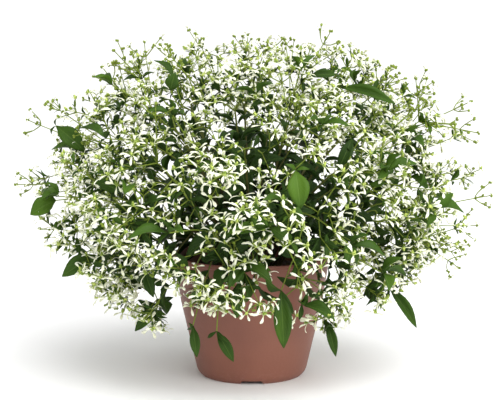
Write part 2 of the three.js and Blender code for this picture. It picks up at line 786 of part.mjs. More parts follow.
// Soil: fills the pot, with a plain hole for every stem
const innerSlope = (RIM_RADIUS - 1.2 - HEEL_RADIUS) / (POT_HEIGHT - FOOT_RECESS - FLOOR - 2);
const soilFloor = FOOT_RECESS + FLOOR + GAP;
const soilEdge = HEEL_RADIUS - WALL - 2 * GAP;
let soil = solid(
  lathe(
    [
      [0, soilFloor],
      [soilEdge - 2.4, soilFloor],
      [soilEdge - 0.3, soilFloor + 2.2],
      [soilEdge - 0.3 + innerSlope * (SOIL_TOP - soilFloor - 4.2), SOIL_TOP - 2],
      [FOOT_SPREAD + 24, SOIL_TOP - 0.4],
      [FOOT_SPREAD + 6, SOIL_TOP],
      [0, SOIL_TOP],
    ],
    SOIL_SIDES
  )
);
for (const stem of stems) {
  const bottom = stem.path[0].clone().setZ(SOIL_TOP - STEM_HOLE_DEPTH);
  const path = [bottom, bottom.clone().setZ(SOIL_TOP + SOIL_CROWN)];
  const size = STEM_RADIUS + 2 * GAP;
  soil = soil.subtract(solid(skinOf({ path, from: size, to: size, face: stem.face })));
}
addPart("soil", soil, 0x33261d, 0.95);

// Shoots: the main stem in lengths from joint to joint, the upper lengths as sprouts of the lower
function shootOf(stem) {
  const thick = (k) => STEM_RADIUS + (k / (stem.path.length - 1)) * (STEM_TIP_RADIUS - STEM_RADIUS);
  let from = stem.path.length - 1;
  let upper = null;
  for (const joint of [...stem.joints].reverse()) {
    if (joint.sprouts.length > 0) {
      const path = stem.path.slice(joint.place, from + 1);
      const length = { kind: "rod", lead: true, path, face: stem.face, fork: upper };
      length.from = thick(joint.place);
      length.to = thick(from);
      upper = { ...joint, sprouts: [...joint.sprouts, length] };
      from = joint.place;
    }
  }
  const path = stem.path.slice(0, from + 1);
  return { path, from: STEM_RADIUS, to: thick(from), face: stem.face, fork: upper };
}
for (const stem of stems) {
  addPart(`leafy_stem_${stem.number}`, solid(skinOf(shootOf(stem))), 0x4f7a32, 0.6);
}

// Flowering tops, each a little above its shoot
for (const stem of stems) {
  const { crown } = stem;
  const path = [along(stem.path[stem.path.length - 1], crown.ahead, GAP), crown.at];
  const top = { path, from: STEM_TIP_RADIUS, to: ARM_RADIUS, face: stem.face, fork: crown };
  addPart(`flower_spray_${stem.number}`, solid(skinOf(top)), 0xe9eddc, 0.7);
}

export default part;
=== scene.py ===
# A potted euphorbia: a plastic grower's pot, its soil, 26 leafy stems and their flowering tops.
# Metres, +Z up, with the front at -Y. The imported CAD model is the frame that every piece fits.
from math import acos, atan2, copysign, cos, degrees, dist, floor, hypot, pi, radians, sin, sqrt, tau
from types import SimpleNamespace as Record

import bmesh
import bpy
import numpy as np
from mathutils import Matrix, Vector


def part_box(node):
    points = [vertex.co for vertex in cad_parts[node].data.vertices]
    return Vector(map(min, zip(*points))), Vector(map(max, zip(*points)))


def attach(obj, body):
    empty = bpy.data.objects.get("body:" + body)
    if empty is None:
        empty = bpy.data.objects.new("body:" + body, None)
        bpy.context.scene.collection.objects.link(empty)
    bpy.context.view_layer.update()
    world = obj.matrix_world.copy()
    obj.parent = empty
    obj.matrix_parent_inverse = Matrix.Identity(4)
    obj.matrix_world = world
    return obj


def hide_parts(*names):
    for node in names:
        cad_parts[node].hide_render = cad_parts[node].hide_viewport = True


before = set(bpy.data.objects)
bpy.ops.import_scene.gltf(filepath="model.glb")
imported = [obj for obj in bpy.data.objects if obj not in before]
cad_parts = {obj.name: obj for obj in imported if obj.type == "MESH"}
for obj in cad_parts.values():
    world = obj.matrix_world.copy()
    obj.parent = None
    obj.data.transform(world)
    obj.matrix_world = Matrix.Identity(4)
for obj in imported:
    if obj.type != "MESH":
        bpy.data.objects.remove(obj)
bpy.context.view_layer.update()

# The pot: thin terracotta-coloured plastic, moulded in one piece, with a rolled rim, a faint
# shoulder below the middle, a rounded heel, and three notches and six drain holes in its foot.
POT_STEPS = 96
POT_CREASE = 28  # degrees, past which an edge is shaded sharp
CORNER_STEPS = 4
WALL = 0.0016
RIM_DROP = 0.004
RIM_LIP = 0.0012  # by which the wall is thicker at the rim
RIM_ROUND = 0.0008
BEAD_RISE = 0.0008
BEAD_ROUND = 0.0006
NECK_IN = 0.0015  # from the rim's radius to the neck's
SHOULDER_HEIGHT = 0.061
SHOULDER_RADIUS = 0.0584
SHOULDER_STEP = 0.0007
SHOULDER_DEPTH = 0.003
HEEL_HEIGHT = 0.0065
HEEL_RADIUS = 0.0452
HEEL_IN = 0.0002
HEEL_ROUND = 0.0032
FOOT_RADIUS = 0.0415
FOOT_RECESS_RADIUS = 0.038
FOOT_RECESS = 0.003
FOOT_RECESS_FLARE = 0.0006
FLOOR = 0.002
FLOOR_IN = 0.001
FLOOR_ROUND = 0.003
NOTCH_COUNT = 3
NOTCH_WIDTH = 0.0185
NOTCH_TOP_WIDTH = 0.0155
NOTCH_DEPTH = 0.014
NOTCH_HEIGHT = 0.0029
DRAIN_COUNT = 6
DRAIN_CIRCLE = 0.027
DRAIN_RADIUS = 0.004
DRAIN_STEPS = 16
MERGE_DISTANCE = 1e-6
PLASTIC_DARK = (0.196, 0.071, 0.047)
PLASTIC_LIGHT = (0.238, 0.088, 0.056)
PLASTIC_SCUFF = (0.36, 0.2, 0.16)


def operator(operation, swapped=False):
    def applied(self, other):
        first, second = (other, self) if swapped else (self, other)
        return self.look.maths(operation, first, second)

    return applied


class Shade:
    """A shader socket, or what Python arithmetic makes of it."""

    def __init__(self, look, socket):
        self.look = look
        self.socket = socket

    __add__ = __radd__ = operator("ADD")
    __mul__ = __rmul__ = operator("MULTIPLY")
    __sub__ = operator("SUBTRACT")
    __rsub__ = operator("SUBTRACT", swapped=True)
    __pow__ = operator("POWER")


class Look:
    """A material's node tree, with one way to add any node."""

    def __init__(self, name):
        self.material = bpy.data.materials.new(name)
        self.material.use_nodes = True
        self.tree = self.material.node_tree
        self.tree.nodes.clear()

    def maths(self, operation, first, second=0.0):
        return self.node("ShaderNodeMath", {"operation": operation}, {0: first, 1: second})

    def node(self, kind, settings=None, sockets=None, output=0):
        node = self.tree.nodes.new(kind)
        for name, value in (settings or {}).items():
            setattr(node, name, value)
        for name, value in (sockets or {}).items():
            self.feed(node.inputs[name], value)
        return Shade(self, node.outputs[output])

    def feed(self, socket, value):
        if isinstance(value, Shade):
            self.tree.links.new(value.socket, socket)
        elif socket.type == "RGBA":
            socket.default_value = (*value, 1)
        else:
            socket.default_value = value

    def place(self):
        return self.node("ShaderNodeTexCoord", output="Object")

    def parts(self, vector):
        split = self.node("ShaderNodeSeparateXYZ", sockets={0: vector}).socket.node
        return [Shade(self, output) for output in split.outputs]

    def noise(self, scale, detail=2):
        sockets = {"Vector": self.place(), "Scale": scale, "Detail": detail}
        return self.node("ShaderNodeTexNoise", sockets=sockets)

    def ramp(self, value, low, high):
        """Rises smoothly from 0 where `value` is `low` to 1 where it is `high`"""
        sockets = {"Value": value, "From Min": low, "From Max": high}
        return self.node("ShaderNodeMapRange", {"interpolation_type": "SMOOTHSTEP"}, sockets)

    def blend(self, share, first, second):
        settings = {"data_type": "RGBA"}
        return self.node("ShaderNodeMix", settings, {0: share, 6: first, 7: second}, output=2)

    def bump(self, height, distance, strength=1.0):
        sockets = {"Height": height, "Distance": distance, "Strength": strength}
        return self.node("ShaderNodeBump", sockets=sockets)

    def finish(self, colour, roughness, **others):
        sockets = {"Base Color": colour, "Roughness": roughness}
        sockets.update((name.replace("_", " "), value) for name, value in others.items())
        shader = self.node("ShaderNodeBsdfPrincipled", sockets=sockets)
        self.feed(self.tree.nodes.new("ShaderNodeOutputMaterial").inputs["Surface"], shader)
        return self.material


def pot_plastic():
    look = Look("pot_plastic")
    fine = look.noise(scale=420, detail=3)
    mottled = look.ramp(look.noise(scale=14, detail=3), 0.35, 0.65)
    colour = look.blend(mottled, PLASTIC_DARK, PLASTIC_LIGHT)
    height = look.parts(look.place())[2]
    scuffed = (1 - look.ramp(height, 0.004, 0.02)) * look.ramp(fine, 0.5, 0.62)
    colour = look.blend(scuffed * 0.1, colour, PLASTIC_SCUFF)
    grain = look.bump(fine, distance=0.00012)
    return look.finish(colour, 0.42 + 0.16 * fine, Normal=grain, Specular_IOR_Level=0.42)


def mesh_of(name, body):
    """A mesh of what the bmesh holds, which is then freed"""
    mesh = bpy.data.meshes.new(name)
    body.to_mesh(mesh)
    body.free()
    return mesh


def new_object(name, data):
    thing = bpy.data.objects.new(name, data)
    bpy.context.scene.collection.objects.link(thing)
    return thing


def new_piece(name, body, materials, node):
    """A piece that rides on the pot's body and stands for a CAD node"""
    piece = new_object(name, mesh_of(name, body))
    for material in materials:
        piece.data.materials.append(material)
    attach(piece, "root")
    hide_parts(node)
    return piece


def rounded(corner, before, after, radius):
    """The points of a rounded corner of an outline"""
    corner, before, after = (Vector(point) for point in (corner, before, after))
    start = corner + (before - corner).normalized() * radius
    end = corner + (after - corner).normalized() * radius
    parts = [step / CORNER_STEPS for step in range(CORNER_STEPS + 1)]
    return [start.lerp(corner, part).lerp(corner.lerp(end, part), part) for part in parts]


def pot_outline():
    """The wall's outline, from the middle of the foot up its outside and down its inside"""
    _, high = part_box("pot")
    rim = max(high.x, high.y)
    rim_foot = (rim, high.z - RIM_DROP)
    neck = (rim - NECK_IN, high.z - RIM_DROP)
    bead = (rim, high.z - RIM_DROP + BEAD_RISE)
    outer_rim = (rim, high.z)
    inner_rim = (rim - WALL - RIM_LIP, high.z)
    shoulder = (SHOULDER_RADIUS, SHOULDER_HEIGHT)
    heel = (HEEL_RADIUS - HEEL_IN, HEEL_HEIGHT / 2)
    foot = (FOOT_RADIUS, 0)
    floor_edge = (HEEL_RADIUS - WALL - FLOOR_IN, FOOT_RECESS + FLOOR)
    floor_middle = (0, FOOT_RECESS + FLOOR)
    points = [
        (0, FOOT_RECESS),
        (FOOT_RECESS_RADIUS, FOOT_RECESS),
        (FOOT_RECESS_RADIUS + FOOT_RECESS_FLARE, 0),
        foot,
        *rounded(heel, foot, shoulder, HEEL_ROUND),
        (SHOULDER_RADIUS - SHOULDER_STEP, SHOULDER_HEIGHT - SHOULDER_DEPTH),
        shoulder,
        neck,
        *rounded(bead, neck, outer_rim, BEAD_ROUND),
        *rounded(outer_rim, rim_foot, inner_rim, RIM_ROUND),
        *rounded(inner_rim, outer_rim, floor_edge, BEAD_ROUND),
        *rounded(floor_edge, inner_rim, floor_middle, FLOOR_ROUND),
        floor_middle,
    ]
    return [Vector(point) for point in points]


def turned(points, steps):
    """A turned body from an outline of radius and height, closed on its axis"""
    body = bmesh.new()
    corners = [body.verts.new((point.x, 0, point.y)) for point in points]
    edges = [body.edges.new(pair) for pair in zip(corners, corners[1:])]
    bmesh.ops.spin(
        body, geom=corners + edges, axis=(0, 0, 1), cent=(0, 0, 0),
        angle=tau, steps=steps, use_merge=True,
    )
    bmesh.ops.remove_doubles(body, verts=body.verts, dist=MERGE_DISTANCE)
    bmesh.ops.recalc_face_normals(body, faces=body.faces)
    return body


def foot_cutters():
    """The blocks and rods that leave the notches and the drain holes"""
    cutters = bmesh.new()
    flare = NOTCH_WIDTH - NOTCH_TOP_WIDTH
    block = Matrix.Diagonal((NOTCH_WIDTH, NOTCH_DEPTH, 2 * NOTCH_HEIGHT, 1))
    for k in range(NOTCH_COUNT):
        turn = Matrix.Rotation(tau * k / NOTCH_COUNT, 4, "Z")
        made = bmesh.ops.create_cube(cutters, size=1, matrix=block)
        for corner in made["verts"]:
            corner.co.x -= copysign(flare / 2, corner.co.x) * (corner.co.z / NOTCH_HEIGHT)
        place = turn @ Matrix.Translation((0, -FOOT_RADIUS, 0))
        bmesh.ops.transform(cutters, matrix=place, verts=made["verts"])
    for k in range(DRAIN_COUNT):
        turn = tau * k / DRAIN_COUNT
        place = (DRAIN_CIRCLE * cos(turn), DRAIN_CIRCLE * sin(turn), FOOT_RECESS)
        bmesh.ops.create_cone(
            cutters, cap_ends=True, segments=DRAIN_STEPS, radius1=DRAIN_RADIUS,
            radius2=DRAIN_RADIUS, depth=4 * FOOT_RECESS, matrix=Matrix.Translation(place),
        )
    return cutters


def cut(piece, cutters):
    """Takes the cutters out of the piece for good"""
    tool = new_object("cutters", mesh_of("cutters", cutters))
    carve = piece.modifiers.new("carve", "BOOLEAN")
    carve.operation = "DIFFERENCE"
    carve.solver = "EXACT"
    carve.object = tool
    depsgraph = bpy.context.evaluated_depsgraph_get()
    carved = bpy.data.meshes.new_from_object(piece.evaluated_get(depsgraph))
    piece.modifiers.clear()
    piece.data = carved
    bpy.data.objects.remove(tool)


pot_body = turned(pot_outline(), POT_STEPS)
pot = new_piece("flower_pot", pot_body, [pot_plastic()], "pot")
cut(pot, foot_cutters())
pot.data.shade_smooth()
pot.data.set_sharp_from_angle(angle=radians(POT_CREASE))

# The potting soil: dark peat with bark crumbs and a few pale grains. It fills the pot to a
# finger's width below the rim, and the stems stand in it.
SOIL_STEPS = 64
SOIL_RINGS = 26
SOIL_ROUGH = 0.0016
SOIL_EDGE_DROP = 0.002
SOIL_FLOOR_IN = 0.003
GRAIN_COUNT = 260
GRAIN_SIZE = (0.0008, 0.0026)
GRAIN_SINK = 0.0004
GRAIN_EDGE = 0.003  # kept free of grains
PEAT_DARK = (0.016, 0.01, 0.007)
PEAT_LIGHT = (0.085, 0.052, 0.034)
BARK = (0.16, 0.1, 0.062)


def seeded(seed):
    """A source of draws between `low` and `high`, the same every time for the same seed"""
    state = seed

    def draw(low, high):
        nonlocal state
        state = (state + 0x6D2B79F5) & 0xFFFFFFFF
        mixed = ((state ^ (state >> 15)) * (state | 1)) & 0xFFFFFFFF
        mixed ^= (mixed + (mixed ^ (mixed >> 7)) * (mixed | 61)) & 0xFFFFFFFF
        return low + ((high - low) * (mixed ^ (mixed >> 14))) / 4294967296

    return draw


def potting_soil():
    look = Look("potting_soil")
    crumbs = look.noise(scale=260, detail=4)
    clumps = look.noise(scale=70, detail=3)
    bark = look.ramp(look.noise(scale=150), 0.62, 0.7)
    colour = look.blend(crumbs, PEAT_DARK, PEAT_LIGHT)
    colour = look.blend(bark * 0.7, colour, BARK)
    grain = look.bump(crumbs, distance=0.0012)
    return look.finish(colour, 0.86 + 0.1 * clumps, Normal=grain)


def soil_body():
    """The soil as a turned body with an uneven top, and grains that lie half sunk in it"""
    low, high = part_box("soil")
    edge = max(high.x, high.y)
    floor_radius = HEEL_RADIUS - WALL - SOIL_FLOOR_IN
    top = high.z
    points = [Vector((0, low.z)), Vector((floor_radius, low.z))]
    points.append(Vector((edge, top - SOIL_EDGE_DROP)))
    points += [Vector((edge * (1 - k / SOIL_RINGS), top)) for k in range(1, SOIL_RINGS + 1)]
    body = turned(points, SOIL_STEPS)
    draw = seeded(42)
    for corner in body.verts:
        if corner.co.z > top - SOIL_EDGE_DROP / 2:
            corner.co.z += draw(-SOIL_ROUGH, SOIL_ROUGH * 0.4)
    for k in range(GRAIN_COUNT):
        out = (edge - GRAIN_EDGE) * sqrt(draw(0, 1))
        turn = draw(0, tau)
        size = draw(*GRAIN_SIZE)
        place = Matrix.Translation((out * cos(turn), out * sin(turn), top - GRAIN_SINK))
        tilt = Matrix.Rotation(draw(0, pi), 4, (draw(-1, 1), draw(-1, 1), draw(-1, 1)))
        shape = Matrix.Diagonal((size, size * draw(0.5, 1), size * draw(0.4, 0.8), 1))
        bmesh.ops.create_icosphere(body, subdivisions=1, radius=1, matrix=place @ tilt @ shape)
    return body


new_piece("potting_mix", soil_body(), [potting_soil()], "soil")

# How the plant grows. From here to the flowers its places are worked out in millimetres by the
# rule that the CAD solids follow, so that every finer piece lies on the solid that it stands for.
MM = 0.001
GAP = 0.35
POT_HEIGHT = 100
RIM_RADIUS = 65.4
SOIL_TOP = 87
STEM_HOLE_DEPTH = 10
OUTER_ROOM = 2  # from the pot's outside and its rim to what grows
INNER_ROOM = 6
GROUND_ROOM = 6
SOIL_ROOM = 3
ROD_CHECKS = 8  # places along a rod where it has to keep that room
MIDDLE = np.array([0.0, 0.0, 130.0])
REACH_ANGLES = [0, 22, 39, 52, 64, 81, 93, 103, 120]
REACH = [150, 166, 180, 187, 196, 193, 184, 164, 150]
INNER_REACH = 0.95
CLOSEST = 0.84
GOLDEN_ANGLE = pi * (3 - sqrt(5))
UP = np.array([0.0, 0.0, 1.0])
NEARLY_ALONG = 0.05


def heading(lean, turn):
    out = sin(lean)
    return np.array([out * cos(turn), out * sin(turn), cos(lean)])


def reach(lean):
    return float(np.interp(degrees(lean), REACH_ANGLES, REACH))


def even_lean(i, count, lowest):
    """The lean of number i of places spread evenly over the crown, down to `lowest` degrees"""
    return acos(1 - (1 - cos(radians(lowest))) * (i + 0.5) / count)


def unit(a):
    return a / sqrt(a @ a)


def between(a, b, part):
    return a + (b - a) * part


def square_to(axis, hint):
    side = hint - axis * (hint @ axis)
    if sqrt(side @ side) < NEARLY_ALONG:
        side = np.array([1.0, 0.0, 0.0]) - axis * axis[0]
    return unit(side)


def turned_about(a, axis, angle):
    """`a`, turned about a unit axis"""
    cosine = cos(angle)
    return a * cosine + np.cross(axis, a) * sin(angle) + axis * (axis @ a) * (1 - cosine)


class Taken:
    """Space that is taken, as rods with round ends. Rods with a joint in common may touch."""

    def __init__(self):
        self.joint_count = 0
        self.start, self.end = np.zeros((2, 0, 3))
        self.radius = np.zeros(0)
        self.joints = np.zeros((0, 3), int)

    def new_joint(self):
        self.joint_count += 1
        return self.joint_count

    def add(self, rods):
        for start, end, radius, joints in rods:
            self.start = np.vstack([self.start, start])
            self.end = np.vstack([self.end, end])
            self.radius = np.append(self.radius, radius)
            self.joints = np.vstack([self.joints, [*joints, 0, 0][:3]])

    def distances(self, start, end):
        """From one rod's line to every other's"""
        u = end - start
        v = self.end - self.start
        w = start - self.start
        uu, vv = u @ u, (v * v).sum(1)
        uv, uw, vw = v @ u, w @ u, (v * w).sum(1)
        spread = uu * vv - uv * uv
        s = np.clip((uv * vw - vv * uw) / np.maximum(spread, 1e-9), 0, 1)
        t = np.clip((uv * s + vw) / np.maximum(vv, 1e-9), 0, 1)
        s = np.clip((uv * t - uw) / max(uu, 1e-9), 0, 1)
        return np.linalg.norm(w + s[:, None] * u - t[:, None] * v, axis=1)

    def leaves_free(self, rods):
        for start, end, radius, joints in rods:
            checked = [between(start, end, part / ROD_CHECKS) for part in range(ROD_CHECKS + 1)]
            if not all(off_pot(point, radius) for point in checked):
                return False
            apart = self.distances(start, end) >= radius + self.radius + GAP
            if not np.all(apart | np.isin(self.joints, joints).any(axis=1)):
                return False
        return True


def off_pot(point, radius):
    """Whether a ball there stays off the ground, the pot's wall and rim, and the soil"""
    out = hypot(point[0], point[1])
    above = point[2] > POT_HEIGHT + radius + OUTER_ROOM
    beside = out > RIM_RADIUS + radius + OUTER_ROOM and point[2] > radius + GROUND_ROOM
    inside = out < RIM_RADIUS - radius - INNER_ROOM and point[2] > SOIL_TOP + radius + SOIL_ROOM
    return above or beside or inside


taken = Taken()


def path_rods(path, radius, first, last):
    joints = [first, *(taken.new_joint() for _ in path[2:]), last]
    return [(path[k], path[k + 1], radius, joints[k : k + 2]) for k in range(len(path) - 1)]


def way_of(sprout):
    """The way in which a sprout leaves its fork"""
    return unit(sprout.second - sprout.root)


def can_grow(fork, sprout, rods):
    way = way_of(sprout)
    return all(way_of(other) @ way < CLOSEST for other in fork.sprouts) and taken.leaves_free(rods)


def grow(fork, sprout, rods):
    taken.add(rods)
    fork.sprouts.append(sprout)


def grown(fork, sprout, rods):
    """Grows the sprout if there is room for it, and says whether it did"""
    free = can_grow(fork, sprout, rods)
    if free:
        grow(fork, sprout, rods)
    return free


def joint_at(place, ahead, joint):
    """A place that sprouts grow from, with the number of its joint"""
    return Record(at=place, ahead=ahead, joint=joint, sprouts=[])


def fork_at(end, before):
    return joint_at(end, unit(end - before), taken.new_joint())


def rod_sprout(path, fork):
    return Record(kind="rod", root=path[0], second=path[1], path=path, fork=fork)


# The main stems: smooth, green at the top and brownish below, each from the soil up and
# outwards in one bow, with joints on the way where twigs and leaves stand.
STEM_COUNT = 26
LOWEST_STEM = 108
FIRST_TURN = 1.9
FOOT_RISE = 4
FOOT_SPREAD = 27
FOOT_LEAN = 0.38
STEM_BEND = 0.6
STEM_SHARE = 0.54
STEM_LIFT = 0.92
STEM_STEPS = 5
STEM_JOINTS = [3, 4, 5]
STEM_RADIUS = 1.6
ARM_RADIUS = 0.9
TRUNK = 6

stems = []
for i in range(STEM_COUNT):
    turn = FIRST_TURN + i * GOLDEN_ANGLE
    lean = even_lean(i, STEM_COUNT, LOWEST_STEM)
    foot = heading(pi / 2, turn) * (FOOT_SPREAD * sqrt((i + 0.5) / STEM_COUNT))
    foot[2] = SOIL_TOP + FOOT_RISE
    top = MIDDLE + heading(lean * STEM_LIFT, turn) * (reach(lean) * STEM_SHARE)
    bend = foot + heading(lean * FOOT_LEAN, turn) * (dist(foot, top) * STEM_BEND)
    path = [np.array([foot[0], foot[1], SOIL_TOP - STEM_HOLE_DEPTH + 1]), foot]
    for step in range(1, STEM_STEPS + 1):
        part = step / STEM_STEPS
        path.append(between(between(foot, bend, part), between(bend, top, part), part))
    ids = [taken.new_joint() for _ in path]
    ahead = unit(path[STEM_STEPS + 1] - path[STEM_STEPS])
    crown = joint_at(top + ahead * TRUNK, ahead, taken.new_joint())
    stem = Record(number=i + 1, heading=heading(lean, turn), path=path, crown=crown, goals=[])
    aheads = [unit(path[k + 1] - path[k - 1]) for k in STEM_JOINTS]
    stem.joints = [joint_at(path[k], way, ids[k]) for k, way in zip(STEM_JOINTS, aheads)]
    stems.append(stem)
    ground = taken.new_joint()
    for k in range(1, len(path) - 1):
        taken.add([(path[k], path[k + 1], STEM_RADIUS, [ids[k], ids[k + 1], ground])])
    taken.add(path_rods([top, crown.at], ARM_RADIUS, ids[-1], crown.joint))


def nearest_stem(spot):
    direction = unit(spot - MIDDLE)
    return max(stems, key=lambda stem: stem.heading @ direction)


# The arms of the flowering tops: each crown forks into up to three thin arms, and each arm into
# up to three more, towards the places where its flowers stand.
BLOOM_COUNT = 375
LOWEST_BLOOM = 119
LAYERS = [1, 0.88, 0.76]
LAYER_SPREAD = (0.93, 1)
LEAN_SWAY = 0.04
TURN_SWAY = 0.06
MOST_ARMS = 3
FORK_SHARE = 0.78
PAIR_SHARE = 0.86
SHORTER = (0, 0.05, 0.1)  # what an arm gives up where the full length isn't free
ARM_BOW = 2
OUTER_TIPS = [
    (-193, 0, 157), (-186, 25, 208), (-162, -30, 227), (-146, 20, 238), (-111, -10, 267),
    (-97, 40, 258), (-73, -20, 272), (-45, 10, 279), (8, -30, 273), (64, 0, 282),
    (100, 30, 245), (131, -20, 245), (149, 15, 240), (177, -10, 226), (191, 10, 220),
    (179, -40, 203), (185, 35, 160), (194, -15, 150), (188, 20, 120), (176, -20, 110),
    (172, 10, 86), (-171, -20, 123), (-158, 20, 102), (-130, -30, 60), (-80, -60, 50),
    (130, -40, 82), (74, -70, 60), (4, -185, 160), (0, 185, 152),
]

spots = [np.array(tip, float) for tip in OUTER_TIPS]
for i in range(BLOOM_COUNT - len(OUTER_TIPS)):
    draw = seeded(1000 + i)
    lean = even_lean(i, BLOOM_COUNT - len(OUTER_TIPS), LOWEST_BLOOM) + draw(-LEAN_SWAY, LEAN_SWAY)
    turn = i * GOLDEN_ANGLE + draw(-TURN_SWAY, TURN_SWAY)
    depth = LAYERS[i % len(LAYERS)] * INNER_REACH * draw(*LAYER_SPREAD)
    spots.append(MIDDLE + heading(lean, turn) * (reach(lean) * depth))
for spot in spots:
    nearest_stem(spot).goals.append(spot)


def grow_arm(joint, goals, share, stem):
    """An arm from a joint towards a few flowers; returns the fork at its end, or nothing"""
    mean = sum(goals) / len(goals)
    for less in SHORTER:
        end = between(MIDDLE, mean, share - less)
        bow = between(joint.at, end, 0.5) + stem.heading * ARM_BOW + UP * ARM_BOW
        path = [joint.at, bow, end] if share < PAIR_SHARE else [joint.at, end]
        fork = fork_at(end, path[-2])
        rods = path_rods(path, ARM_RADIUS, joint.joint, fork.joint)
        if grown(joint, rod_sprout(path, fork), rods):
            return fork
    return None


def grouped(goals, joint):
    """Up to three groups of neighbours, by their place around the joint's axis"""
    first = square_to(joint.ahead, UP)
    second = np.cross(joint.ahead, first)

    def around(goal):
        off = goal - joint.at
        return atan2(off @ second, off @ first)

    ordered = sorted(goals, key=around)
    count = min(MOST_ARMS, len(ordered))
    borders = [floor(k * len(ordered) / max(count, 1) + 0.5) for k in range(count + 1)]
    return [ordered[low:high] for low, high in zip(borders, borders[1:])]


forks = []
for stem in stems:
    for goals in grouped(stem.goals, stem.crown):
        fork = grow_arm(stem.crown, goals, FORK_SHARE, stem)
        if fork:
            forks.append((fork, goals, stem))

# The leaves' places: first those that hang or stand singly, then sets of three on twigs of the
# main stems. A twig tries each joint of its stem, and is left out where none is free.
TWIG_COUNT = 52
LOWEST_TWIG = 112
TWIG_TRIES = 9
TWIG_TURN = 2
TWIG_DEPTH = (0.68, 0.86)  # shares of the crown's reach
TWIG_BOW = 7
TWIG_BOW_STEP = 3
TWIG_RADIUS = 0.9
LEAF_SAG = 0.16
LEAF_LENGTH = 25
LEAF_LENGTHS = (0.75, 1.25)  # shares of that length
LAST_LEAF = 0.8
LEAF_SHAPE = 0.32
LEAF_SHAPE_SPREAD = (0, 0.1)
LEAF_BELLY = 0.45  # place of the widest part along a leaf
BELLY_ROOM = 0.4
TIP_ROOM = 0.2
YOUNG_HEIGHT = 205
YOUNG_SHARE = 0.72
SINGLE_FACE = np.array([0, -1, 0.45])
SINGLE_LEAVES = [  # root x, y, z, then tip x, y, z, then width
    (-157, -20, 207, -134, -24, 187, 15), (-157, -30, 148, -177, -34, 137, 15),
    (-102, -80, 162, -120, -88, 171, 11), (32, -148, 186, 35, -156, 159, 16),
    (13, -150, 145, -18, -154, 141, 9), (67, -60, 241, 111, -64, 228, 9),
    (68, -20, 248, 46, -24, 247, 8), (59, -66, 57, 66, -72, 30, 8),
    (-10, -115, 98, -11, -120, 71, 12), (22, -115, 91, 24, -121, 48, 14),
    (-45, -100, 61, -42, -104, 37, 8), (-27, -98, 56, -14, -102, 33, 9),
    (-83, -80, 100, -76, -86, 80, 9), (-75, -62, 65, -92, -66, 49, 9),
    (90, -60, 84, 99, -66, 72, 11), (109, -40, 81, 132, -44, 47, 9),
    (-124, -40, 105, -151, -46, 89, 14), (-63, -60, 238, -59, -64, 252, 11),
]


def leaf_rods(leaf, joint):
    axis = unit(leaf.second - leaf.root)
    face = square_to(axis, leaf.face)
    side = np.cross(axis, face)
    sag = dist(leaf.root, leaf.second) * LEAF_SAG
    belly = between(leaf.root, leaf.second, LEAF_BELLY) + face * (sag / 2)
    half = leaf.width / 4
    belt = taken.new_joint()
    rods = []
    for hand in (-half, half):
        middle = belly + side * hand
        rods.append((leaf.root, middle, half + BELLY_ROOM, [joint, belt]))
        rods.append((middle, leaf.second, half + TIP_ROOM, [belt]))
    return rods


def leaf_between(root, tip, face, width):
    return Record(kind="leaf", root=root, second=tip, face=face, width=width)


def grow_twig(stem, goal, leaves_at):
    for attempt in range(TWIG_TRIES):
        joint = stem.joints[(attempt + len(stem.joints) - 1) % len(stem.joints)]
        if len(joint.sprouts) > 1:
            continue
        outwards = stem.heading * (TWIG_BOW_STEP * attempt)
        bow = between(joint.at, goal, 0.5) + outwards + UP * TWIG_BOW
        fork = fork_at(goal, bow)
        path = [joint.at, bow, goal]
        rods = path_rods(path, TWIG_RADIUS, joint.joint, fork.joint)
        sprout = rod_sprout(path, fork)
        if not can_grow(joint, sprout, rods):
            continue
        for leaf in leaves_at(fork, attempt):
            grown(fork, leaf, leaf_rods(leaf, fork.joint))
        if fork.sprouts:
            grow(joint, sprout, rods)
            return


def twig_leaves(i, fork, attempt):
    """The leaves at a twig's end: one to each side, and one ahead"""
    draw = seeded(4000 + 10 * i + attempt)
    side = np.cross(fork.ahead, square_to(fork.ahead, UP))
    longest = LEAF_LENGTH * (YOUNG_SHARE if fork.at[2] > YOUNG_HEIGHT else 1)
    leaves = []
    for hand in (-1, 1, 0):
        length = longest * draw(*LEAF_LENGTHS) * (1 if hand else LAST_LEAF)
        way = fork.ahead * 0.6 + side * (hand * draw(0.6, 0.95))
        way[2] += draw(-0.3, 0.2) + (0 if hand else 0.5)
        face = np.array([draw(-0.5, 0.5), draw(-0.7, 0.3), 1])
        width = length * (LEAF_SHAPE + draw(*LEAF_SHAPE_SPREAD))
        leaves.append(leaf_between(fork.at, fork.at + unit(way) * length, face, width))
    return leaves


for *ends, width in SINGLE_LEAVES:
    root, tip = np.array(ends, float).reshape(2, 3)
    leaf = leaf_between(root, tip, SINGLE_FACE, width)
    grow_twig(nearest_stem(root), root, lambda fork, attempt: [leaf])

for i in range(TWIG_COUNT):
    lean = even_lean(i, TWIG_COUNT, LOWEST_TWIG)
    depth = seeded(3000 + i)(*TWIG_DEPTH)
    goal = MIDDLE + heading(lean, TWIG_TURN + i * GOLDEN_ANGLE) * (reach(lean) * depth)
    grow_twig(nearest_stem(goal), goal, lambda fork, attempt: twig_leaves(i, fork, attempt))

# The flowers' places: at most three to a fork. Each flower tries a few places near its goal, and
# is left out where none is free. Last come the leaves at the joints of the main stems.
BLOOM_TRIES = 8
TRY_SLACK = 0.8
TRY_INWARDS = 0.012
LEAST_STALK = 8
CUP = 0.85
BRACT_LENGTH = 8.4
BRACT_WIDTH = 3.8
BRACT_RISE = 1.6
JOINT_LEAF = (0.9, 1.35)
JOINT_LEAF_SHAPE = LEAF_SHAPE + 0.06
JOINT_SPROUTS = 2
JOINT_WAYS = 6


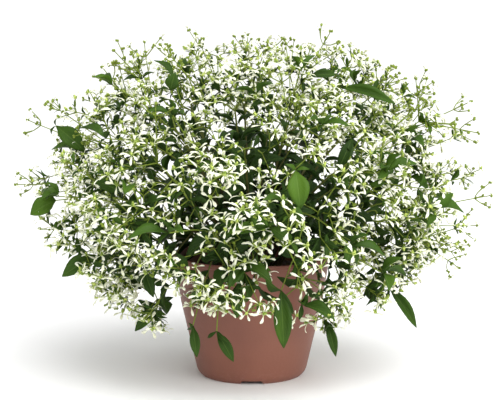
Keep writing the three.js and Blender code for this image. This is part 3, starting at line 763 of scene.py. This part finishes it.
def bloom_rods(bloom, joint_before):
    joint = taken.new_joint()
    rods = [(bloom.root, bloom.second, CUP, [joint_before, joint])]
    first = turned_about(square_to(bloom.axis, UP), bloom.axis, bloom.spin)
    for k in range(3):
        out = turned_about(first, bloom.axis, k * tau / 3)
        end = bloom.second + out * (BRACT_LENGTH - 1) + bloom.axis * BRACT_RISE
        rods.append((bloom.second, end, BRACT_WIDTH / 2, [joint]))
    return rods


def swerve(draw, aside, low, high):
    """A drawn vector, up to `aside` along X and Y and from `low` to `high` along Z"""
    return np.array([draw(-aside, aside), draw(-aside, aside), draw(low, high)])


def bloom_at(root, centre, axis, spin):
    return Record(kind="bloom", root=root, second=centre, axis=axis, spin=spin)


def grow_bloom(fork, goal, seed):
    for attempt in range(BLOOM_TRIES):
        draw = seeded(seed + attempt)
        slack = TRY_SLACK * attempt
        centre = between(goal + swerve(draw, slack, -slack, slack), MIDDLE, TRY_INWARDS * attempt)
        ahead = (centre - fork.at) @ fork.ahead
        centre = centre + fork.ahead * max(0, LEAST_STALK - ahead)
        axis = unit(unit(centre - fork.at) + swerve(draw, 0.35, 0, 0.7))
        bloom = bloom_at(fork.at, centre, axis, draw(0, tau))
        if grown(fork, bloom, bloom_rods(bloom, fork.joint)):
            return


for f, (fork, goals, stem) in enumerate(forks):
    for g, group in enumerate(grouped(goals, fork)):
        seed = 5000 + 400 * f + 100 * g
        if len(group) == 1:
            grow_bloom(fork, group[0], seed)
            continue
        pair = grow_arm(fork, group, PAIR_SHARE, stem)
        if pair:
            for k, goal in enumerate(group[:MOST_ARMS]):
                grow_bloom(pair, goal, seed + 20 * k)

for i, stem in enumerate(stems):
    for place, joint in zip(STEM_JOINTS, stem.joints):
        draw = seeded(7000 + 10 * i + place)
        if joint.sprouts:
            ways, hint = range(2, JOINT_WAYS), way_of(joint.sprouts[0])
        else:
            ways, hint = range(JOINT_WAYS), heading(pi / 2, draw(0, tau))
        first = square_to(joint.ahead, hint)
        for k in ways:
            if len(joint.sprouts) >= JOINT_SPROUTS:
                break
            way = turned_about(first, joint.ahead, k * tau / JOINT_WAYS)
            length = LEAF_LENGTH * draw(*JOINT_LEAF)
            tip = joint.at + unit(way + joint.ahead * 0.5) * length
            leaf = leaf_between(joint.at, tip, joint.ahead, length * JOINT_LEAF_SHAPE)
            grown(joint, leaf, leaf_rods(leaf, joint.joint))

# The plant is made of four tissues: stem skin, leaf blade, white bract and green cup. Every shoot
# and every flowering top holds them in this order, so that a piece's faces name them by number.
STEM, BLADE, BRACT, FLOWER_CUP = range(4)
STEM_BROWN = (0.055, 0.047, 0.014)
STEM_GREEN = (0.175, 0.24, 0.025)
STEM_STREAK = (0.1, 0.07, 0.028)
# Leaf colours: the inner one is a painted shade where the crown shades its own inner leaves, rising
# to the lit colour at the crown's outside
SHADED_INNER_LEAF = (0.016, 0.04, 0.005)
LIT_OUTER_LEAF = (0.046, 0.104, 0.007)
# Lighter leaves at random: partly the leaves' own tone, partly a painted highlight of lit leaves,
# given more weight towards the crown's outside
PALE_AND_LIT_LEAF = (0.07, 0.145, 0.008)
LEAF_PATCH = (0.02, 0.05, 0.007)
LEAF_VEIN = (0.1, 0.175, 0.03)
BRACT_CREAM = (0.81, 0.84, 0.58)
BRACT_WHITE = (0.91, 0.92, 0.74)
BRACT_CLAW = (0.4, 0.55, 0.14)
CUP_GREEN = (0.15, 0.23, 0.02)
CUP_YELLOW = (0.47, 0.55, 0.12)


def outside(look, low, high):
    """Rises from 0 inside the crown to 1 at its outside, by the square of how far out it is"""
    x, y, z = look.parts(look.place())
    return look.ramp(x * x + y * y + (z - float(MIDDLE[2]) * MM) ** 2, low, high)


def stem_skin():
    look = Look("stem_skin")
    streaks = look.noise(scale=180)
    colour = look.blend(outside(look, 0.001, 0.016), STEM_BROWN, STEM_GREEN)
    colour = look.blend(look.ramp(streaks, 0.5, 0.75) * 0.45, colour, STEM_STREAK)
    return look.finish(colour, 0.5 + 0.1 * streaks, Specular_IOR_Level=0.25)


def leaf_skin():
    look = Look("leaf_skin")
    across, along, _ = look.parts(look.node("ShaderNodeUVMap", {"uv_map": "blade"}))
    off = look.maths("ABSOLUTE", across - 0.5)
    midrib = 1 - look.ramp(off, 0.012, 0.05)
    side_veins = look.ramp(look.maths("SINE", along * 46 - off * 44), 0.75, 1)
    patches = look.noise(scale=60)
    # Lighter leaves at random, partly their own tone and partly painted light, weighted towards the
    # crown's outside
    pale_and_lit = look.ramp(look.noise(scale=26, detail=1), 0.5, 0.72)
    # Painted shade: leaves are painted darker towards the crown's inside, where its own foliage
    # shades them
    lit_outside = outside(look, 0.008, 0.036)
    colour = look.blend(lit_outside, SHADED_INNER_LEAF, LIT_OUTER_LEAF)
    colour = look.blend(pale_and_lit * (0.2 + 0.8 * lit_outside), colour, PALE_AND_LIT_LEAF)
    colour = look.blend(patches * 0.3, colour, LEAF_PATCH)
    veins = look.maths("MAXIMUM", midrib * 0.4, side_veins * 0.12)
    colour = look.blend(veins, colour, LEAF_VEIN)
    height = patches * 0.3 - side_veins * 0.4 - midrib
    relief = look.bump(height, distance=0.0003, strength=0.6)
    return look.finish(colour, 0.46 + 0.14 * patches, Normal=relief, Specular_IOR_Level=0.15)


def bract_skin():
    look = Look("bract_skin")
    along = look.parts(look.node("ShaderNodeUVMap", {"uv_map": "blade"}))[1]
    cloud = look.noise(scale=300)
    claw = 1 - look.ramp(along, 0.02, 0.3)
    colour = look.blend(cloud, BRACT_CREAM, BRACT_WHITE)
    colour = look.blend(claw * 0.8, colour, BRACT_CLAW)
    return look.finish(
        colour, 0.55 + 0.1 * cloud, Specular_IOR_Level=0.3,
        Subsurface_Weight=0.5, Subsurface_Radius=(1, 1, 0.8), Subsurface_Scale=0.0008,
    )


def cup_skin():
    look = Look("cup_skin")
    cloud = look.noise(scale=500)
    colour = look.blend(look.ramp(cloud, 0.42, 0.62), CUP_GREEN, CUP_YELLOW)
    return look.finish(colour, 0.45 + 0.1 * cloud, Specular_IOR_Level=0.4)


# Stems, twigs and stalks are round shoots that taper a little towards their tips. Each runs
# smoothly through its joints, and its foot is sunk in what it grows from.
STEP_LENGTH = 5


def flowing(path):
    """Points along a smooth line through those of the path"""
    ends = [2 * path[0] - path[1], *path, 2 * path[-1] - path[-2]]
    line = []
    for before, start, end, after in zip(ends, ends[1:], ends[2:], ends[3:]):
        steps = max(2, round(dist(start, end) / STEP_LENGTH))
        for step in range(steps):
            t = step / steps
            pull = (2 * before - 5 * start + 4 * end - after) * t * t
            swing = (3 * start - before - 3 * end + after) * t**3
            line.append(0.5 * (2 * start + (end - before) * t + pull + swing))
    return [*line, path[-1]]


def round_rods(rods, roundness):
    """One mesh of round rods, each given by its path and its radius at both ends"""
    curve = bpy.data.curves.new("rods", "CURVE")
    curve.dimensions = "3D"
    curve.bevel_depth = MM
    curve.bevel_resolution = roundness
    curve.use_fill_caps = True
    for path, first, last in rods:
        line = flowing(path)
        spline = curve.splines.new("POLY")
        spline.points.add(len(line) - 1)
        for k, point in enumerate(line):
            spline.points[k].co = (*(point * MM), 1)
            spline.points[k].radius = first + (last - first) * k / (len(line) - 1)
        spline.use_smooth = True
    holder = new_object("rods", curve)
    depsgraph = bpy.context.evaluated_depsgraph_get()
    mesh = bpy.data.meshes.new_from_object(holder.evaluated_get(depsgraph))
    bpy.data.objects.remove(holder)
    return mesh


# Leaves and bracts are thin blades. A leaf is elliptic with a short stalk, folded a little along
# its midrib and arched; a bract is spoon-shaped.
LEAF_ARCH = 0.384
LEAF_FOLD = 0.16
LEAF_STALK = 0.07
LEAF_STALK_WIDTH = 0.06
BLADE_THICKNESS = 0.012
LEAFLET_THICKNESS = 0.03
CLAW_FROM = 0.17
CLAW_WIDTH = 0.16
SPOON_WIDENS = 0.6
SPOON_TIP = 0.3
BRACT_CURLS = (0.5, 0.12)
BRACT_FOLD = 0.06
BRACT_THICKNESS = 0.04
BRACT_CROWDING = 1.4


def leaf_half(along):
    """Half a leaf's width, as a share of the most, by the place along it"""
    part = max(0.0, (along - LEAF_STALK) / (1 - LEAF_STALK))
    return max(LEAF_STALK_WIDTH, sin(pi * part**0.88) ** 0.8)


def spoon_half(along):
    """Half a bract's width: a narrow claw that widens to a round tip"""
    part = min(1.0, max(0.0, (along - CLAW_FROM) / SPOON_WIDENS))
    widened = CLAW_WIDTH + (1 - CLAW_WIDTH) * part * part * (3 - 2 * part)
    tip = min(1.0, max(0.0, (along - 1 + SPOON_TIP) / SPOON_TIP))
    return max(CLAW_WIDTH, widened * sqrt(1 - tip**2.4 * 0.97))


def new_body():
    """An empty bmesh with the map that leaves and bracts are coloured by"""
    body = bmesh.new()
    body.loops.layers.uv.new("blade")
    return body


def blade(name, columns, rows, half, arch, fold, thickness, tissue, crowding=1):
    """A blade of length and width 1, from the origin along +Y, with its upper side to +Z. With
    more `crowding` its rows lie closer to the tip."""
    sheet = new_body()
    bmesh.ops.create_grid(sheet, x_segments=columns, y_segments=rows, size=0.5, calc_uvs=True)
    for corner in sheet.verts:
        across = 2 * corner.co.x
        along = 1 - (0.5 - corner.co.y) ** crowding
        rise = arch * along * (1 - along) + fold * abs(across) * half(along) ** 2
        corner.co = (across * half(along) / 2, along, rise)
    bmesh.ops.solidify(sheet, geom=sheet.faces[:], thickness=thickness)
    bmesh.ops.recalc_face_normals(sheet, faces=sheet.faces)
    for face in sheet.faces:
        face.material_index = tissue
        face.smooth = True
    return mesh_of(name, sheet)


def add_copy(body, shape, columns, place):
    """Adds a copy of a mesh with these columns as its axes, at a place in millimetres"""
    rows = [(*column, 0) for column in columns]
    copy = shape.copy()
    copy.transform(Matrix([*rows, (*(place * MM), 1)]).transposed())
    body.from_mesh(copy)
    bpy.data.meshes.remove(copy)


def add_blade(body, shape, root, way, face, length, width):
    """Adds a blade by its root, its direction, its upper side and its size, in millimetres"""
    axis = unit(way)
    up = square_to(axis, face)
    columns = [np.cross(axis, up) * width, axis * length, up * length]
    add_copy(body, shape, [column * MM for column in columns], root)


large_leaf = blade("large_leaf", 4, 8, leaf_half, LEAF_ARCH, LEAF_FOLD, BLADE_THICKNESS, BLADE)
small_leaf = blade("small_leaf", 2, 5, leaf_half, LEAF_ARCH, LEAF_FOLD, BLADE_THICKNESS, BLADE)
leaflet = blade("leaflet", 1, 3, leaf_half, LEAF_ARCH, 0, LEAFLET_THICKNESS, BLADE)
spoons = [
    blade("spoon", 1, 4, spoon_half, curl, BRACT_FOLD, BRACT_THICKNESS, BRACT, BRACT_CROWDING)
    for curl in BRACT_CURLS
]

# The flower: a green cup of three millimetres with a smaller seed pod beside it and three to five
# white bracts around its rim. Young ones have a cup of two lobes and fewer, shorter bracts. Six
# patterns of each, and one of a bud, are repeated over the whole plant.
CUP_RADIUS = 1.5
CUP_HEIGHT = 1.6
CUP_RISE = 0.7
POD_RADIUS = 0.95
POD_OFFSET = 1.7
SPOON_LENGTH = 8.3
SPOON_WIDTH = 2.6
SPOON_LENGTHS = (0.72, 1.12)  # shares of that length, and of the width
SPOON_WIDTHS = (0.8, 1.15)
YOUNG_BRACT = 0.66
BRACT_COUNT = (3.1, 5.3)
BRACT_SHIFT = 0.36
BRACT_LEAN = (40, 135)
RIM_LEAN = 80
RIM_RISE = 0.7  # share of the cup's radius at which the bracts stand
POD_LEAN = (20, 75)
LOBE_RADIUS = 1.05
LOBE_HEIGHT = 1.3
LOBE_APART = 0.8
LOBE_RISE = 0.2
FLOWER_PATTERNS = 6
ANY_TURN = (0, 6.28)


def small_cup(body, radius, height, middle, tissue):
    size = Matrix.Diagonal((radius * MM, radius * MM, height * MM, 1))
    place = Matrix.Translation(Vector(middle) * MM)
    made = bmesh.ops.create_uvsphere(
        body, u_segments=6, v_segments=3, radius=1, matrix=place @ size, calc_uvs=False
    )
    for face in {face for corner in made["verts"] for face in corner.link_faces}:
        face.material_index = tissue
        face.smooth = True


def lobed_cup(body):
    for hand in (-1, 1):
        middle = (LOBE_APART * LOBE_RADIUS * hand, 0, LOBE_RISE * hand)
        small_cup(body, LOBE_RADIUS, LOBE_HEIGHT, middle, STEM)


def flower_pattern(seed, young):
    """A flower of the seed's own draw; a young one has a lobed cup and shorter bracts"""
    draw = seeded(seed)
    body = new_body()
    if young:
        lobed_cup(body)
    else:
        small_cup(body, CUP_RADIUS, CUP_HEIGHT, (0, 0, CUP_RISE), FLOWER_CUP)
    count = round(draw(*BRACT_COUNT)) - young
    start = draw(0, tau)
    for k in range(count):
        turn = start + tau * (k + draw(-BRACT_SHIFT, BRACT_SHIFT)) / count
        way = heading(radians(draw(*BRACT_LEAN)), turn)
        root = heading(radians(RIM_LEAN), turn) * (CUP_RADIUS * RIM_RISE)
        length = SPOON_LENGTH * (YOUNG_BRACT if young else 1) * draw(*SPOON_LENGTHS)
        width = SPOON_WIDTH * draw(*SPOON_WIDTHS)
        spoon = spoons[floor(draw(0, len(spoons)))]
        add_blade(body, spoon, root, way, UP, length, width)
    if not young:
        pod = heading(radians(draw(*POD_LEAN)), draw(*ANY_TURN)) * POD_OFFSET
        small_cup(body, POD_RADIUS, POD_RADIUS, pod + UP * CUP_RISE, FLOWER_CUP)
    return mesh_of("flower", body)


flowers = [flower_pattern(800 + k, False) for k in range(FLOWER_PATTERNS)]
young_flowers = [flower_pattern(820 + k, True) for k in range(FLOWER_PATTERNS)]

bud_body = new_body()
lobed_cup(bud_body)
bud = mesh_of("bud", bud_body)

# A flower head: a stalk that forks twice below its middle flower into up to four side flowers,
# with narrow leaflets at the forks and buds between the flowers. At the crown's outside the heads
# are younger: three small flowers on long pedicels, and thin rays that end in three lobed cups.
SIDE_OUT = (4.5, 7.0)
SIDE_UP = (2, 5)
OUTSIDE = 1.0  # share of the crown's reach beyond which a head is young
UPPER_HEIGHTS = (150, 210)
UPPER_DROP = 0.07  # taken off that share at the crown's top
RAY = (16, 30)
RAY_REACH = 1.06
RAY_FORK = 0.8
FLOWER_GAP = (5.5, 9.5)
SECOND_FLOWER = 0.5
PLACE_TRIES = 4
STALK_RADIUS = 0.48
PEDICEL_RADIUS = 0.36
LEAFLET = (6, 11)
LEAFLET_SHAPE = 0.26
END_LEAFLET = (5, 9)
FACE_UP = (0.4, 2.4)
FLOWER_SIZE = (0.88, 1.1)
BUD_STALK = (4, 8)
BUD_SIZE = (0.8, 1.1)
HEAD_LEAF = (8, 15), 0.36  # the range of its length, and its width by length

# how far below its middle flower each kind forks, its pedicels, rays and size of leaflets
OPEN_HEAD = Record(patterns=flowers, fork=(8, 12), pedicel=(6, 10), rays=0, leaflet=1)
YOUNG_HEAD = Record(patterns=young_flowers, fork=(11, 16), pedicel=(7, 14), rays=2, leaflet=0.6)

flower_places = []


def outward(place):
    """How far out a place is, as a share of the crown's reach that way"""
    off = place - MIDDLE
    far = sqrt(off @ off)
    return far / reach(acos(off[2] / far))


def upper_share(place):
    """Rises from 0 to 1 between the crown's middle and its top"""
    return np.interp(place[2], UPPER_HEIGHTS, (0, 1))


def is_young(place):
    return outward(place) > OUTSIDE - UPPER_DROP * upper_share(place)


def is_clear(place, gap):
    """Whether every flower's place is further than `gap` from this one"""
    off = np.array(flower_places) - place
    return np.min(np.einsum("ij,ij->i", off, off)) > gap**2


def clear_place(start, way, lengths, draw):
    """The end of a pedicel from `start` that keeps clear of every other flower, or nothing"""
    least_gap = draw(*FLOWER_GAP)
    for _ in range(PLACE_TRIES):
        end = start + unit(way + swerve(draw, 0.35, -0.3, 0.4)) * draw(*lengths)
        if is_clear(end, least_gap):
            flower_places.append(end)
            return end
    return None


def add_spun(plant, pattern, centre, axis, sizes):
    """A copy of a flower or a bud that faces along the axis"""
    first = turned_about(square_to(axis, UP), axis, plant.draw(*ANY_TURN))
    size = plant.draw(*sizes)
    columns = [first * size, np.cross(axis, first) * size, axis * size]
    add_copy(plant.body, pattern, columns, centre)


def add_flower(plant, path, axis, patterns):
    """A flower at a pedicel's end; most face upwards, whatever way the pedicel comes"""
    plant.stalks.append((path, STALK_RADIUS, PEDICEL_RADIUS))
    pattern = patterns[floor(plant.draw(0, FLOWER_PATTERNS))]
    add_spun(plant, pattern, path[-1], unit(axis + UP * plant.draw(*FACE_UP)), FLOWER_SIZE)


def add_bud(plant, start, way):
    end = start + unit(way) * plant.draw(*BUD_STALK)
    plant.stalks.append(([start, end], PEDICEL_RADIUS, PEDICEL_RADIUS))
    add_spun(plant, bud, end, unit(way), BUD_SIZE)


def add_leaflet(plant, root, way, length):
    add_blade(plant.body, leaflet, root, way, UP, length, length * LEAFLET_SHAPE)


def add_ray(plant, root, way):
    """A long thin stalk that ends in three lobed cups"""
    side = turned_about(square_to(way, UP), way, plant.draw(0, pi))
    end = root + way * plant.draw(*RAY)
    if outward(end) < RAY_REACH:
        plant.stalks.append(([root, end], STALK_RADIUS, PEDICEL_RADIUS))
        for hand in (-1, 0, 1):
            add_bud(plant, end, way + side * (RAY_FORK * hand))


def add_head(plant, bloom):
    """A whole head in place of a single flower of the growth rule"""
    draw = plant.draw
    way = bloom.second - bloom.root
    length = sqrt(way @ way)
    ahead = way / length
    side = turned_about(square_to(ahead, UP), ahead, bloom.spin)
    young = is_young(bloom.second)
    head = YOUNG_HEAD if young else OPEN_HEAD
    below = min(0.6 * length, draw(*head.fork))
    fork = bloom.second - ahead * below + side * draw(-0.6, 0.6)
    for _ in range(head.rays):
        add_ray(plant, bloom.root, unit(ahead + swerve(draw, 0.5, -0.3, 0.5)))
    if not young:
        at = between(bloom.root, fork, draw(0.3, 0.9))
        add_pair(plant, at, ahead, HEAD_LEAF, small_leaf)
    add_flower(plant, [bloom.root, fork, bloom.second], bloom.axis, head.patterns)
    add_bud(plant, fork, ahead + np.cross(ahead, side) * draw(-0.7, 0.7))
    for hand in (-1, 1):
        out = side * hand
        across = np.cross(ahead, out) * (1 if draw(0, 1) < 0.5 else -1)
        second = fork + out * draw(*SIDE_OUT) + ahead * draw(*SIDE_UP)
        size = draw(*LEAFLET) * head.leaflet
        add_leaflet(plant, fork, across * hand + ahead * 0.8 + UP * draw(-0.2, 0.4), size)
        leans = [out + ahead * 0.7 - across * 0.5, across + ahead * draw(-0.4, 0.6)]
        if young:
            leans = [out + ahead * 1.2]
        elif draw(0, 1) > SECOND_FLOWER:
            leans.pop()
        path = [fork, second]
        for lean in leans:
            end = clear_place(second, lean, head.pedicel, draw)
            if end is not None:
                axis = unit(bloom.axis * 0.8 + unit(end - second))
                add_flower(plant, [*path, end], axis, head.patterns)
                path = [second]
        if len(path) == 1:
            add_bud(plant, second, out * 0.6 + ahead + across * draw(0.3, 0.8))
            for turn in () if young else (-0.7, 0.7):
                way = ahead * 0.4 + out * 0.8 - across * turn
                add_leaflet(plant, second, way, draw(*END_LEAFLET))


# The heads that are too many for the solids. Each grows from a fork of an arm into a gap between
# the others, so that the crown is evenly full of flowers.
INFILL_TRIES = 24
INFILL_STALK = (13, 27)
INFILL_GAP = (15, 25)
INFILL_REACH = (0.75, 1.04)
INFILL_MOST = 2
INFILL_TOP = 235
INFILL_ROOM = 6


def all_forks(fork):
    yield fork
    for sprout in fork.sprouts:
        if sprout.kind == "rod":
            yield from all_forks(sprout.fork)


for stem in stems:
    for fork in all_forks(stem.crown):
        flower_places += [sprout.second for sprout in fork.sprouts if sprout.kind == "bloom"]


def fits_in(place, gap):
    least, most = INFILL_REACH
    inside = least < outward(place) < most and place[2] < INFILL_TOP
    return inside and is_clear(place, gap) and off_pot(place, INFILL_ROOM)


for stem in stems:
    draw = seeded(11000 + stem.number)
    for fork in list(all_forks(stem.crown)):
        least_gap = draw(*INFILL_GAP)
        added = 0
        for _ in range(INFILL_TRIES):
            way = unit(fork.ahead + swerve(draw, 1, -0.8, 1))
            end = fork.at + way * draw(*INFILL_STALK)
            if fits_in(end, least_gap):
                axis = unit(way + UP * draw(0, 0.5))
                fork.sprouts.append(bloom_at(fork.at, end, axis, draw(0, pi)))
                flower_places.append(end)
                added += 1
                if added == INFILL_MOST:
                    break

# Each shoot and each top, put together. Twigs and arms carry the leaves and flower heads of the
# growth rule, and pairs of further leaves that are too many for the solids.
STEM_LEAF = (20, 34), 0.36
ARM_LEAF = (10, 17), 0.38
TIP_LEAF = (9, 17), 0.32
BROAD_LEAF = (17, 25), 0.42
BROAD_SHARE = 0.3
UPPER_LEAF_DROP = 0.35
SLIM_STEM = (1.44, 0.825)  # radii at both ends, where the solids' rods are thicker
SLIM_TRUNK = (0.825, 0.72)
SLIM_ARM = (0.648, 0.468)
LEAF_PLACE = 0.7  # along each stretch of a stem, where its pair of leaves stands


def add_leaf(plant, leaf):
    way = leaf.second - leaf.root
    add_blade(plant.body, large_leaf, leaf.root, way, leaf.face, sqrt(way @ way), leaf.width)


def add_pair(plant, at, along, kind, pattern):
    draw = plant.draw
    lengths, shape = kind
    side = turned_about(square_to(along, UP), along, draw(0, pi))
    for hand in (-1, 1):
        way = side * hand + along * draw(0.1, 0.8) + UP * draw(-0.2, 0.3)
        length = draw(*lengths) * (1 - UPPER_LEAF_DROP * upper_share(at))
        face = along + UP * draw(0.2, 1)
        add_blade(plant.body, pattern, at, way, face, length, length * shape)


def add_sprouts(plant, fork):
    for sprout in fork.sprouts:
        if sprout.kind == "leaf":
            add_leaf(plant, sprout)
        elif sprout.kind == "bloom":
            add_head(plant, sprout)
        else:
            plant.rods.append((sprout.path, *SLIM_ARM))
            add_pair(plant, sprout.path[1], way_of(sprout), ARM_LEAF, small_leaf)
            kind = BROAD_LEAF if plant.draw(0, 1) < BROAD_SHARE else TIP_LEAF
            add_pair(plant, sprout.path[-1], sprout.fork.ahead, kind, small_leaf)
            add_sprouts(plant, sprout.fork)


def plant_part(rod, draw):
    """A shoot or a top in the making: its blades, its rods, its fine stalks and its draw"""
    return Record(body=new_body(), rods=[rod], stalks=[], draw=draw)


def plant_piece(name, plant, node):
    for mesh in (round_rods(plant.rods, 1), round_rods(plant.stalks, 0)):
        plant.body.from_mesh(mesh)
        bpy.data.meshes.remove(mesh)
    new_piece(name, plant.body, tissues, node)


tissues = [stem_skin(), leaf_skin(), bract_skin(), cup_skin()]
for stem in stems:
    number = f"{stem.number:02d}"
    draw = seeded(9000 + stem.number)
    shoot = plant_part((stem.path, *SLIM_STEM), draw)
    for joint in stem.joints:
        add_sprouts(shoot, joint)
    for start, end in zip(stem.path[1:], stem.path[2:]):
        add_pair(shoot, between(start, end, LEAF_PLACE), unit(end - start), STEM_LEAF, large_leaf)
    plant_piece(f"shoot_{number}", shoot, f"leafy_stem_{number}")

    top = plant_part(([stem.path[-1], stem.crown.at], *SLIM_TRUNK), draw)
    add_sprouts(top, stem.crown)
    plant_piece(f"top_{number}", top, f"flower_spray_{number}")

# The studio: a pale floor in a white surround, a broad soft light from the front right and wide
# daylight from above. The camera stands 1.3 m in front of the pot and looks slightly down.
FLOOR_SIZE = 80
FLOOR_DARK = (0.9, 0.9, 0.9)
FLOOR_LIGHT = (0.92, 0.92, 0.92)
KEY_PLACE = (1.0, -1.5, 1.5)
KEY_SIZE = 2.0
KEY_POWER = 45
DAYLIGHT_STRENGTH = 1.5
DAYLIGHT_WIDTH = 50
DAYLIGHT_TILT = (24, 14, 0)
SURROUND_STRENGTH = 0.84
CAMERA_PLACE = (-0.0014, -1.3, 0.32)
CAMERA_PITCH = 7.7
CAMERA_LENS = 115.2

sheet = bmesh.new()
bmesh.ops.create_grid(sheet, x_segments=2, y_segments=2, size=FLOOR_SIZE / 2)
ground = new_object("floor", mesh_of("floor", sheet))
look = Look("studio_floor")
colour = look.blend(look.noise(scale=2), FLOOR_DARK, FLOOR_LIGHT)
ground.data.materials.append(look.finish(colour, 0.9))

key = bpy.data.lights.new("key_light", "AREA")
key.size = KEY_SIZE
key.energy = KEY_POWER
key_holder = new_object("key_light", key)
key_holder.location = KEY_PLACE
aim = Vector(MIDDLE) * MM - Vector(KEY_PLACE)
key_holder.rotation_euler = aim.to_track_quat("-Z", "Y").to_euler()

daylight = bpy.data.lights.new("daylight", "SUN")
daylight.energy = DAYLIGHT_STRENGTH
daylight.angle = radians(DAYLIGHT_WIDTH)
daylight_holder = new_object("daylight", daylight)
daylight_holder.rotation_euler = [radians(angle) for angle in DAYLIGHT_TILT]

world = bpy.data.worlds.new("studio")
world.use_nodes = True
surround = world.node_tree.nodes["Background"]
surround.inputs["Color"].default_value = (1, 1, 1, 1)
surround.inputs["Strength"].default_value = SURROUND_STRENGTH
bpy.context.scene.world = world
bpy.context.scene.view_settings.view_transform = "Standard"

camera_data = bpy.data.cameras.new("camera")
camera_data.lens = CAMERA_LENS
camera = new_object("camera", camera_data)
camera.location = CAMERA_PLACE
camera.rotation_euler = (radians(90 - CAMERA_PITCH), 0, 0)
bpy.context.scene.camera = camera
